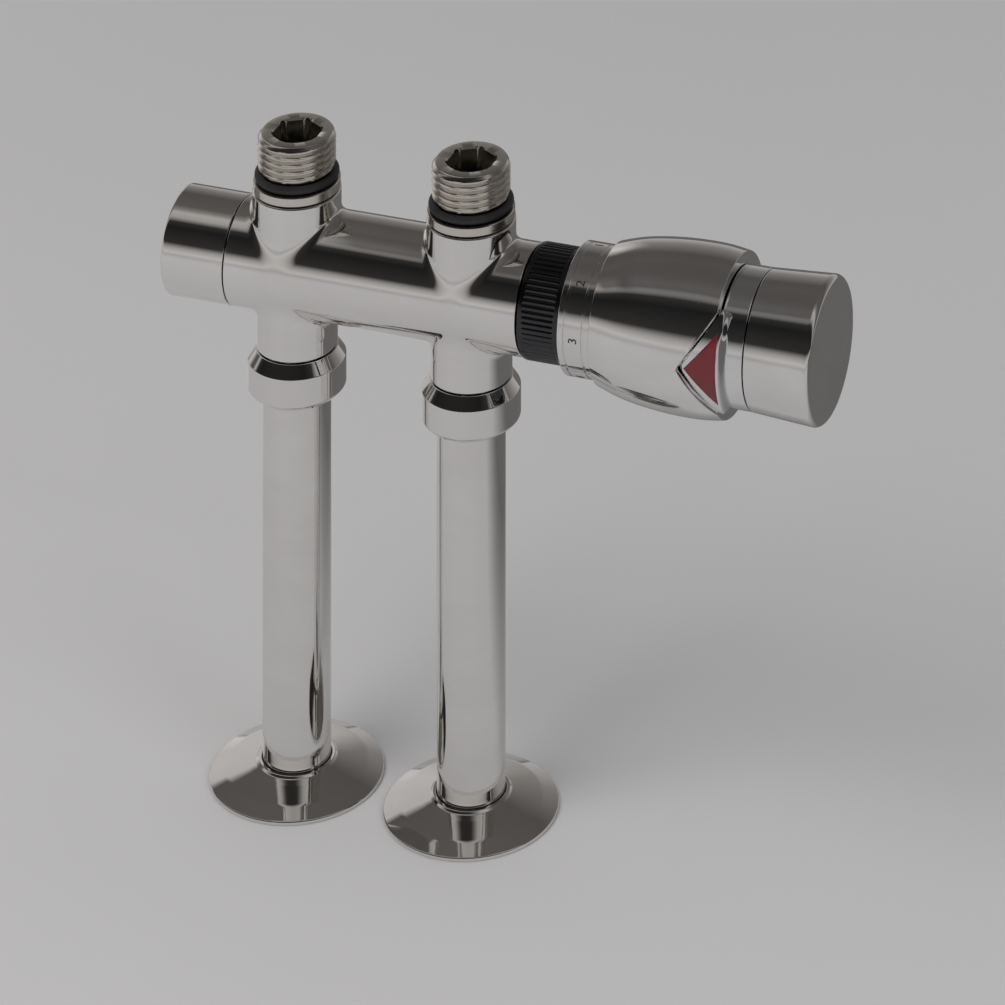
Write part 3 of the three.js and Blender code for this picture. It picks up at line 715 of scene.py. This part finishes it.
def slotted_base():
    """Guide tube of the head: socket on the left, three slots for the sensor's lugs and a groove for the clip."""
    prof = [(52.3, 8), (52.3, 10.6), (52.5, 10.8), (53.4, 10.8), (53.6, 10.6), (53.6, 9.2), (55.6, 9.2), (55.6, 12), (64.3, 12), (64.5, 11.8), (64.5, 11),
            (72, 11), (75, 11), (79, 11), (83, 11), (87, 11), (91, 11), (94, 11), (98.6, 11), (98.6, 10.2), (100.2, 10.2), (100.2, 11), (100.8, 11), (101, 10.8), (101, 9.5),
            (94, 9.5), (91, 9.5), (87, 9.5), (83, 9.5), (79, 9.5), (75, 9.5), (72, 9.5), (66, 9.5), (66, 2.6), (57, 2.6), (57, 8)]
    half, centres = 18.6, (30, 150, 270)
    t = []
    for c in centres:
        t += list(np.linspace(c - half, c + half, 11)) + list(np.linspace(c + half, c + 120 - half, 23)[1:-1])
    t = np.radians(np.array(t))
    n = len(t)
    v, f = sheet(np.array([frame_point("x", (0, 0), np.full(n, a), np.full(n, r), t) for a, r in prof]), wrap_rows=True)
    inner = {i for i, (a, r) in enumerate(prof) if 72 <= a <= 94}
    outer_rows = [i for i in sorted(inner) if prof[i][1] > 10]
    inner_rows = [i for i in sorted(inner) if prof[i][1] < 10][::-1]
    in_slot = set()
    per = n // 3
    for k in range(3):
        in_slot |= {k * per + j for j in range(10)}
    gone = set()
    for rows in (outer_rows, sorted(inner_rows)):
        for i in rows[:-1]:
            gone |= {i * n + c for c in in_slot}
    faces = [q for q in f if not (q[0] in gone)]
    for k in range(3):
        lo, hi = k * per, k * per + 10
        for i in range(len(outer_rows) - 1):          # long walls of the slot
            o0, o1, i0, i1 = outer_rows[i], outer_rows[i + 1], inner_rows[i], inner_rows[i + 1]
            faces.append((o0 * n + lo, i0 * n + lo, i1 * n + lo, o1 * n + lo))
            faces.append((o0 * n + hi, o1 * n + hi, i1 * n + hi, i0 * n + hi))
        for c in range(lo, hi):                       # end walls
            o, i = outer_rows[0] * n, inner_rows[0] * n
            faces.append((o + c, o + c + 1, i + c + 1, i + c))
            o, i = outer_rows[-1] * n, inner_rows[-1] * n
            faces.append((o + c, i + c, i + c + 1, o + c + 1))
    used = sorted({q for face in faces for q in face})
    back = {q: i for i, q in enumerate(used)}
    v, faces = v[used], [tuple(back[q] for q in face) for face in faces]
    return v, outward(v, faces)


v, f = merge(slotted_base(), sector(64.8, 67.6, 10.7, 13.1, 180 - 14.6, 180 + 14.6))
piece("head_base_guide", v, f, "white_plastic", "head", ["head_base"], flip=False, sharp=32)
v, f = sector(98.9, 99.9, 10.5, 12.7, -149, 149, 0.15, 120)
piece("retaining_clip_ring", v, f, "steel_x", "head", ["retaining_clip"], sharp=40)

# ---------------------------------------------------------------------------------------------
# Head: turning part
# ---------------------------------------------------------------------------------------------


def spline(xs, ys, x):
    """Natural cubic spline."""
    xs, ys = np.asarray(xs, float), np.asarray(ys, float)
    n = len(xs)
    h = np.diff(xs)
    A, b = np.eye(n), np.zeros(n)
    for i in range(1, n - 1):
        A[i, i - 1:i + 2] = h[i - 1], 2 * (h[i - 1] + h[i]), h[i]
        b[i] = 6 * ((ys[i + 1] - ys[i]) / h[i] - (ys[i] - ys[i - 1]) / h[i - 1])
    m = np.linalg.solve(A, b)
    i = np.clip(np.searchsorted(xs, x) - 1, 0, n - 2)
    d, w = x - xs[i], xs[i + 1] - x
    return (m[i] * w ** 3 + m[i + 1] * d ** 3) / (6 * h[i]) + (ys[i] / h[i] - m[i] * h[i] / 6) * w + (ys[i + 1] / h[i] - m[i + 1] * h[i] / 6) * d


BX = [64.8, 68, 72, 77, 83, 90, 95, 99.7]
BR = [17.0, 17.95, 18.9, 19.65, 20.2, 20.4, 20.2, 19.6]
APEX, SLOPE, FLOOR = 90.4, 1.4, 17.4


def barrel_surface():
    x = np.concatenate([np.linspace(64.8, 90.1, 64), np.linspace(90.38, 99.7, 58)])
    prof = [(a, float(spline(BX, BR, a))) for a in x]
    pts = [(64.8, 13.5, 0.15), (prof[0][0], prof[0][1], 0.25)] + [(a, r) for a, r in prof[3:-3]]
    pts += [(99.7, prof[-1][1], 1.7), (99.7, 13.7, 0.15), (98.3, 13.7), (98.3, 11.4), (95.5, 11.4), (95.5, 13.5),
            (90, 13.5, 0.3), (88.5, 16, 0.5), (71.5, 16, 0.5), (70, 13.5, 0.3)]
    pts = rounded(pts, True, 8, 0.12)
    # columns follow the notch's edges
    out_t = np.concatenate([[0.0], np.linspace(0, 1, 86)[1:] ** 1.0])
    n_in = 9
    rows = []
    for a, r in pts:
        outer = r > 16.5
        half = max((a - APEX) * SLOPE, 0.05)
        th = math.asin(min(0.95, half / max(r, 19.0)))
        live = outer and a > APEX + 0.01
        d = min(0.24 / 19.5, th * 0.25)
        side = np.concatenate([[th + d * 1.2, th + d * 0.7, th + d * 0.3, th, th - d * 0.35, th - d * 0.8]])
        wall = np.array([0.0, 0.03, 0.11, 0.30, 0.75, 1.0])
        far = th + d * 1.2 + (math.pi - th - d * 1.2) * out_t[2:]
        t_half = np.concatenate([far[::-1], side, np.linspace(th - d * 0.8, 0, n_in)[1:]])
        w_half = np.concatenate([np.zeros(len(far)), wall, np.ones(n_in - 1)])
        t = np.concatenate([-t_half, t_half[::-1][1:-1]])
        w = np.concatenate([w_half, w_half[::-1][1:-1]])
        rr = r - (w * max(0.0, r - FLOOR) if live else 0.0)
        rows.append(frame_point("x", (0, 0), np.full(len(t), a), rr * np.ones(len(t)), t))
    return sheet(np.array(rows), wrap_rows=True)


v, f = barrel_surface()
v, f = merge((v, outward(v, f)), sector(65, 67.7, 11.4, 13.8, 50 - 14.6, 50 + 14.6))
piece("grip_barrel_shell", v, f, "chrome_head", "grip", ["grip_barrel"], flip=False, sharp=38)
turned("drive_sleeve_bush", ["drive_sleeve"], "grip", "brass_x", [
    (68, 11.4), (68, 13.2, 0.2), (95.1, 13.2, 0.2), (95.1, 12.4), (69.5, 12.4), (69.5, 11.4)], segs=96)


def tongue():
    """Tongue lying in the notch, running back into the ring."""
    a = np.concatenate([np.linspace(APEX + 0.55, 99.6, 34), np.linspace(99.8, 103.1, 20)])
    cols = np.linspace(-1, 1, 41)
    rows = []
    for x in a:
        half = (min(x, 100.6) - APEX - 0.5) * SLOPE
        top = 19.0 - 0.30 * max(0.0, 1 - half / 1.2) ** 2
        low_r = 17.65
        if x > 99.6:
            s = min(1.0, max(0.0, x - 100.8) / 2.3)
            top = 19.0 - 2.45 * (s * s * (3 - 2 * s))
            low_r = 17.65 - 1.4 * min(1.0, (x - 99.6) / 0.6)
        th = math.asin(min(0.93, half / 19.0))
        t = cols * th
        # softly rounded upper edges
        edge = np.clip((1 - np.abs(cols)) * half, 0, 0.35) / 0.35
        r = top - 0.3 * (1 - np.sqrt(1 - (1 - edge) ** 2))
        up = frame_point("x", (0, 0), np.full(len(t), x), r, t)
        low = frame_point("x", (0, 0), np.full(len(t), x), np.full(len(t), low_r), t[::-1])
        rows.append(np.concatenate([up, low]))
    return capped_sheet(np.array(rows))


ring = lathe(rounded([(100, 13.6), (100, 16.65, 0.3), (107, 16.65, 0.3), (107, 13.6)], True, 6, 0.1), "x", (0, 0), 160)
ring = (ring[0], outward(*ring))
v, f = merge(ring, tongue())
piece("pointer_ring_band", v, f, "chrome_ring", "grip", ["pointer_ring"], flip=False, sharp=40)


def arrow():
    a = np.linspace(APEX + 1.75, 100.75, 32)
    cols = np.linspace(-1, 1, 31)
    rows = []
    for x in a:
        half = max(0.02, (x - APEX - 1.7) * 1.07)
        th = math.asin(min(0.93, half / 19.2))
        t = cols * th
        end = min(1.0, (100.75 - x) / 0.3, (x - a[0] + 0.05) / 0.3)
        edge = np.clip((1 - np.abs(cols)) * half, 0, 0.28) / 0.28
        k = np.minimum(edge, end)
        r = 19.35 - 0.2 * (1 - np.sqrt(np.clip(1 - (1 - k) ** 2, 0, 1)))
        up = frame_point("x", (0, 0), np.full(len(t), x), r, t)
        low = frame_point("x", (0, 0), np.full(len(t), x), np.full(len(t), 18.5), t[::-1])
        rows.append(np.concatenate([up, low]))
    return capped_sheet(np.array(rows))


v, f = arrow()
piece("pointer_arrow_inlay", v, f, "dark_red", "grip", ["pointer_arrow"], sharp=45)

turned("end_knob_shell", ["end_knob"], "grip", "chrome_head", [
    (125.5, 0), (125.5, 17.75, 1.8), (107.3, 16.7, 0.3), (107.3, 13.3), (101.4, 13.3, 0.1), (101.4, 12, 0.1), (109.3, 12), (109.3, 15.3, 0.3), (123.8, 15.3, 0.8), (123.8, 0)],
    segs=192, steps=12, support=0.12)

# ---------------------------------------------------------------------------------------------
# Sensor
# ---------------------------------------------------------------------------------------------

turned("sensor_capsule_can", ["sensor_capsule"], "sensor", "copper_x", [
    (94, 0), (94, 7.5, 0.8), (75.2, 7.5, 0.8), (75.2, 3.2, 0.2), (71.5, 3.2, 0.2), (71.5, 2.3), (74, 2.3), (74, 0)], segs=96)
cup = lathe(rounded([(103.5, 0), (103.5, 9.1, 0.4), (76, 9.1, 0.15), (76, 7.8, 0.1), (102.2, 7.8, 0.3), (102.2, 0)], False, 4, 0.1), "x", (0, 0), 96)
v, f = merge((cup[0], outward(*cup)), *[sector(80, 87, 8.7, 11.55, a - 16.6, a + 16.6, 0.25) for a in (30, 150, 270)])
piece("sensor_carrier_cup", v, f, "black_plastic", "sensor", ["sensor_carrier"], flip=False, sharp=32)
turned("push_rod_pin", ["push_rod"], "sensor", "steel_x", [(56.8, 0), (56.8, 2, 0.4), (73.7, 2, 0.2), (73.7, 0)], segs=64)
helix("overtravel_spring_coil", ["overtravel_spring"], "sensor", 94.4, 101.8, 5.9, 0.65, 3)

# ---------------------------------------------------------------------------------------------
# Pipe connections
# ---------------------------------------------------------------------------------------------

for side, x in PIPES.items():
    c = (x, AZ)
    # nipple: pocket thread, hexagon-socket bore, collar, O-ring groove and G 1/2 thread
    segs = 120
    t = np.arange(segs) * 2 * math.pi / segs
    step = math.pi / 3
    hexr = 6.0 / np.cos((t + step / 2) % step - step / 2)
    q = lambda r: np.full(segs, r)
    rows = [(11.6, q(5)), (11.6, q(7.2)), (12, q(7.6)), (19.3, q(7.6)), (19.3, q(11.2)), (19.36, q(11.38)), (19.55, q(11.5)), (21.55, q(11.5)), (21.74, q(11.38)), (21.8, q(11.2)),
            (21.8, q(8.9)), (24.4, q(8.9)), (24.4, q(9.3)), (24.5, q(9.4)), (33.95, q(9.4)), (34, q(9.2)), (34, np.maximum(hexr, 6.7)), (33.6, hexr), (26.4, hexr), (26.0, q(5))]
    P = np.array([frame_point("z", c, np.full(segs, a), r, t) for a, r in rows])
    nip = sheet(P, wrap_rows=True)
    nip = (nip[0], outward(*nip))
    thr = threaded(24.42, 33.9, 10.3, 1.0, 1.814, 9.2, "z", c, 120, 12, 1.1)
    thr = (thr[0], outward(*thr))
    v, f = merge(nip, thr)
    piece("radiator_nipple_body_" + side, v, f, "nickel", "valve", ["radiator_nipple_" + side], flip=False, sharp=32)
    torus_ring("nipple_seal_ring_" + side, ["nipple_seal_" + side], "valve", 23.1, 10.15, 1.05, "z", c, 128)

    turned("compression_nut_round_" + side, ["compression_nut_" + side], "valve", "chrome", [
        (-34, 9.3, 0.15), (-34, 11.5, 0.5), (-32.6, 13.0, 0.9), (-25.3, 13.0, 0.5), (-22.3, 10.9, 0.25), (-22.3, 9.8, 0.1), (-28.5, 9.8), (-31, 8.3), (-31.7, 8), (-31.7, 9.3)],
        "z", c, 160, 8)
    turned("olive_ring_" + side, ["olive_" + side], "valve", "brass_z", [
        (-30.2, 7.85), (-30.2, 8.2, 0.1), (-29.2, 8.8, 0.6), (-28.2, 8.2, 0.1), (-28.2, 7.85)], "z", c, 96)
    turned("pipe_seal_ring_" + side, ["pipe_seal_" + side], "valve", "rubber", [(-27.9, 7.85, 0.1), (-27.9, 9.1, 0.2), (-27, 9.1, 0.2), (-27, 7.85, 0.1)], "z", c, 96)
    g = (x, 0)
    turned("supply_pipe_tail_" + side, ["supply_pipe_" + side], "valve", "copper_z", [
        (0, 6.5, 0.1), (0, 7.5, 0.1), (AZ - 16.3, 7.5, 0.2), (AZ - 16.3, 6.5, 0.1)], "z", g, 96)
    turned("pipe_sleeve_tube_" + side, ["pipe_sleeve_" + side], "valve", "chrome", [
        (0.4, 8.1, 0.1), (0.4, 9.0, 0.2), (AZ - 32, 9.0, 0.2), (AZ - 32, 8.1, 0.1)], "z", g, 160)
    turned("floor_rosette_plate_" + side, ["floor_rosette_" + side], "rosette_" + side, "chrome", [
        (0, 21.6, 0.2), (0, 23.0, 0.25), (1.0, 23.0, 0.45), (2.6, 18.6, 9.0), (4.1, 12.6, 5.0), (4.6, 10.7, 0.6), (5.2, 10.1, 0.35), (5.2, 9.25, 0.2), (3.6, 9.25, 0.2), (3.2, 12.2, 2.0), (1.6, 18.4, 6.0)],
        "z", g, 192, 10)

# ---------------------------------------------------------------------------------------------
# Floor, light and camera
# ---------------------------------------------------------------------------------------------


def quad(name, pts, mat):
    me = bpy.data.meshes.new(name)
    me.from_pydata(pts, [], [(0, 1, 2, 3)])
    ob = bpy.data.objects.new(name, me)
    scene.collection.objects.link(ob)
    me.materials.append(mat)
    ob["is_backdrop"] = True
    return ob


BACKDROP = (0.475, 0.472, 0.474)


def floor_build(n, bsdf, pos):
    drift = n.noise(pos, 2.2, 4, 0.55)
    fine = n.noise(pos, 240, 3, 0.6)
    n.link(n.ramp(drift, [(0.25, (0.565, 0.560, 0.563)), (0.75, (0.600, 0.595, 0.598))]), bsdf.inputs["Base Color"])
    n.link(n.math("MULTIPLY_ADD", fine, 0.1, 0.55), bsdf.inputs["Roughness"])
    bsdf.inputs["Specular IOR Level"].default_value = 0.25


floor_mat = material("pale_floor", floor_build)


def shade_behind(mat):
    t = mat.node_tree
    n = Nodes.__new__(Nodes)
    n.t = t
    bsdf = next(x for x in t.nodes if x.type == "BSDF_PRINCIPLED")
    out = next(x for x in t.nodes if x.type == "OUTPUT_MATERIAL")
    pos = n.add("ShaderNodeSeparateXYZ")
    n.link(n.add("ShaderNodeTexCoord").outputs["Object"], pos.inputs[0])
    away = n.math("MULTIPLY_ADD", pos.outputs["X"], 4.0, -0.25)
    back = n.math("ADD", n.math("MULTIPLY_ADD", pos.outputs["Y"], 8.1, away, clamp=True), 0.10)
    dark = n.add("ShaderNodeEmission")
    dark.inputs["Color"].default_value = (0.120, 0.116, 0.113, 1)
    mix = n.add("ShaderNodeMixShader")
    rays = n.add("ShaderNodeLightPath")
    n.link(n.math("MULTIPLY", n.math("MULTIPLY", back, rays.outputs["Is Glossy Ray"]), 0.86), mix.inputs[0])
    # far from the valve the floor runs into the backdrop without a horizon
    far = n.add("ShaderNodeVectorMath", operation="LENGTH")
    n.link(n.add("ShaderNodeTexCoord").outputs["Object"], far.inputs[0])
    fade = n.add("ShaderNodeMapRange", interpolation_type="SMOOTHSTEP")
    fade.inputs["From Min"].default_value, fade.inputs["From Max"].default_value = 0.5, 2.6
    n.link(far.outputs["Value"], fade.inputs["Value"])
    glow = n.add("ShaderNodeEmission")
    glow.inputs["Color"].default_value = (*BACKDROP, 1)
    plain = n.add("ShaderNodeMixShader")
    n.link(fade.outputs["Result"], plain.inputs[0])
    n.link(bsdf.outputs[0], plain.inputs[1])
    n.link(glow.outputs[0], plain.inputs[2])
    n.link(plain.outputs[0], mix.inputs[1])
    n.link(dark.outputs[0], mix.inputs[2])
    n.link(mix.outputs[0], out.inputs["Surface"])


shade_behind(floor_mat)
quad("floor", [(-6, -6, 0), (6, -6, 0), (6, 6, 0), (-6, 6, 0)], floor_mat)

def card(name, pts, colour, mask, strength):
    """Reflection card with soft edges, seen only in reflections. mask holds (axis, middle, half width, soft edge)."""
    def build(n, bsdf, pos):
        sep = n.add("ShaderNodeSeparateXYZ")
        n.link(n.add("ShaderNodeTexCoord").outputs["Object"], sep.inputs[0])
        edge = None
        for axis, mid, half, soft in mask:
            off = n.math("ABSOLUTE", n.math("SUBTRACT", sep.outputs[axis], mid))
            inside = n.math("MULTIPLY_ADD", off, -1.0 / soft, half / soft, clamp=True)
            edge = inside if edge is None else n.math("MULTIPLY", edge, inside)
        clear = n.add("ShaderNodeBsdfTransparent")
        glow = n.add("ShaderNodeEmission")
        glow.inputs["Color"].default_value = (*colour, 1)
        mix = n.add("ShaderNodeMixShader")
        n.link(n.math("MULTIPLY", edge, strength), mix.inputs[0])
        n.link(clear.outputs[0], mix.inputs[1])
        n.link(glow.outputs[0], mix.inputs[2])
        out = next(x for x in n.t.nodes if x.type == "OUTPUT_MATERIAL")
        n.link(mix.outputs[0], out.inputs["Surface"])
    ob = quad(name, pts, material(name, build))
    for ray in ("camera", "diffuse", "transmission", "volume_scatter", "shadow"):
        setattr(ob, "visible_" + ray, False)


# dark overhead for the head, and a pale one low behind the rosettes on the left
card("overhead_card", [(-0.07, -0.07, 0.256), (0.086, -0.07, 0.256), (0.086, 0.06, 0.256), (-0.07, 0.06, 0.256)],
     (0.088, 0.083, 0.080), (("X", 0.008, 0.076, 0.022), ("Y", -0.004, 0.060, 0.022)), 0.92)
card("shoulder_card", [(-0.105, -0.06, 0.240), (-0.015, -0.06, 0.240), (-0.015, 0.03, 0.240), (-0.105, 0.03, 0.240)],
     (0.088, 0.083, 0.080), (("X", -0.052, 0.040, 0.016), ("Y", -0.012, 0.042, 0.018)), 0.85)
card("low_card", [(-0.24, 0.10, 0.004), (-0.06, 0.10, 0.004), (-0.06, 0.10, 0.130), (-0.24, 0.10, 0.130)],
     (0.50, 0.485, 0.475), (("X", -0.150, 0.088, 0.030), ("Z", 0.062, 0.062, 0.022)), 0.95)

world = bpy.data.worlds.new("studio")
scene.world = world
world.use_nodes = True
n = Nodes(world.node_tree)
out = n.add("ShaderNodeOutputWorld")
soft = n.add("ShaderNodeBackground")
soft.inputs["Color"].default_value = (*BACKDROP, 1)
soft.inputs["Strength"].default_value = 1.0
seen = n.add("ShaderNodeBackground")
sep = n.add("ShaderNodeSeparateXYZ")
n.link(n.add("ShaderNodeTexCoord").outputs["Generated"], sep.inputs[0])
# angle round the X axis: 0.5 is level towards the room, 0.75 is overhead, 1 is level behind
psi = n.math("ARCTAN2", sep.outputs["Z"], n.math("MULTIPLY", sep.outputs["Y"], -1.0))
psi = n.math("MULTIPLY_ADD", psi, 0.5 / math.pi, 0.5)
BAND = [
    (0.000, (0.42, 0.41, 0.405)),
    (0.400, (0.47, 0.455, 0.445)),
    (0.503, (0.52, 0.50, 0.485)),
    (0.528, (0.33, 0.32, 0.31)),
    (0.552, (0.030, 0.028, 0.027)),
    (0.640, (0.012, 0.012, 0.012)),
    (0.672, (0.030, 0.029, 0.028)),
    (0.698, (0.34, 0.33, 0.32)),
    (0.728, (0.42, 0.405, 0.39)),
    (0.750, (0.22, 0.205, 0.195)),
    (0.775, (0.105, 0.097, 0.092)),
    (0.880, (0.085, 0.080, 0.077)),
    (0.950, (0.22, 0.21, 0.20)),
    (1.000, (0.42, 0.41, 0.405)),
]
# the wall behind is pale on the left and in shade on the right
side = n.math("MULTIPLY_ADD", sep.outputs["X"], -8.0, -3.5, clamp=True)
behind = n.math("MULTIPLY_ADD", sep.outputs["Y"], 3.0, -0.6, clamp=True)
blend = n.add("ShaderNodeMix", data_type="RGBA")
low = n.math("MULTIPLY_ADD", sep.outputs["Z"], -6.0, 3.0, clamp=True)
n.link(n.math("MULTIPLY", n.math("MULTIPLY", side, behind), low), blend.inputs["Factor"])
n.link(n.ramp(psi, BAND), blend.inputs[6])
blend.inputs[7].default_value = (0.62, 0.60, 0.585, 1)
n.link(blend.outputs[2], seen.inputs["Color"])
seen.inputs["Strength"].default_value = 1.0
path = n.add("ShaderNodeLightPath")
mix = n.add("ShaderNodeMixShader")
n.link(path.outputs["Is Glossy Ray"], mix.inputs[0])
n.link(soft.outputs[0], mix.inputs[1])
n.link(seen.outputs[0], mix.inputs[2])
n.link(mix.outputs[0], out.inputs["Surface"])


def area(name, loc, target, size, power, colour=(1, 1, 1)):
    li = bpy.data.lights.new(name, "AREA")
    li.shape, li.size, li.size_y, li.energy, li.color = "RECTANGLE", size[0], size[1], power, colour
    ob = bpy.data.objects.new(name, li)
    scene.collection.objects.link(ob)
    ob.location = loc
    ob.rotation_mode = "QUATERNION"
    ob.rotation_quaternion = (Vector(target) - Vector(loc)).to_track_quat("-Z", "Y")
    ob.visible_glossy = False
    return ob


area("key_softbox", (-0.55, -0.75, 1.25), (0, 0, 0.08), (0.9, 0.9), 9.5, (1.0, 0.985, 0.965))
area("fill_softbox", (1.1, -0.5, 0.8), (0, 0, 0.08), (0.8, 0.8), 3.0, (0.97, 0.985, 1.0))

# The camera is level, as a photograph of upright things is usually taken, and the lens is shifted down
# and left onto the valve. The shift belongs to this one viewpoint: a keyed curve over the camera's own
# X position holds it there and is zero elsewhere. Curve keys may not stand closer than 0.01, so the
# position is summed several times to make the window narrow.
YAW = math.radians(17.5)
CAM = Vector((OX + 650, -1440, 965)) * MM
cam_data = bpy.data.cameras.new("camera")
cam = bpy.data.objects.new("camera", cam_data)
scene.collection.objects.link(cam)
scene.camera = cam
cam.rotation_mode = "QUATERNION"
cam.location = CAM
look = Vector((-math.sin(YAW), math.cos(YAW), 0))
cam.rotation_quaternion = look.to_track_quat("-Z", "Y")
right, up = Vector((math.cos(YAW), math.sin(YAW), 0)), Vector((0, 0, 1))
lo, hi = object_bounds()
tx, ty = [], []
for i in range(8):
    p = Vector((lo.x if i & 1 else hi.x, lo.y if i & 2 else hi.y, lo.z if i & 4 else hi.z)) - CAM
    tx.append(p.dot(right) / p.dot(look))
    ty.append(p.dot(up) / p.dot(look))
span = max(max(tx) - min(tx), max(ty) - min(ty)) / 0.86
cam_data.sensor_width = 36
cam_data.lens = 36 / span
cam_data.clip_start, cam_data.clip_end = 0.05, 50
SHIFT = ((max(tx) + min(tx)) / 2 / span, (max(ty) + min(ty)) / 2 / span)
for prop, value in (("shift_x", SHIFT[0]), ("shift_y", SHIFT[1])):
    curve = cam_data.driver_add(prop)
    for extra in list(curve.modifiers):
        curve.modifiers.remove(extra)
    curve.driver.type = "SUM"
    for i in range(12):
        var = curve.driver.variables.new()
        var.name, var.type = f"lx{i}", "TRANSFORMS"
        var.targets[0].id = cam
        var.targets[0].transform_type = "LOC_X"
        var.targets[0].transform_space = "WORLD_SPACE"
    keys = [(-0.06, 0.0), (-0.02, value), (0.02, value), (0.06, 0.0)]
    curve.keyframe_points.add(len(keys))
    for key, (x, y) in zip(curve.keyframe_points, keys):
        key.co = (12 * CAM.x + x, y)
        key.interpolation = "LINEAR"
    curve.extrapolation = "CONSTANT"
    curve.update()

scene.view_settings.view_transform = "Standard"

lo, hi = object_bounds()
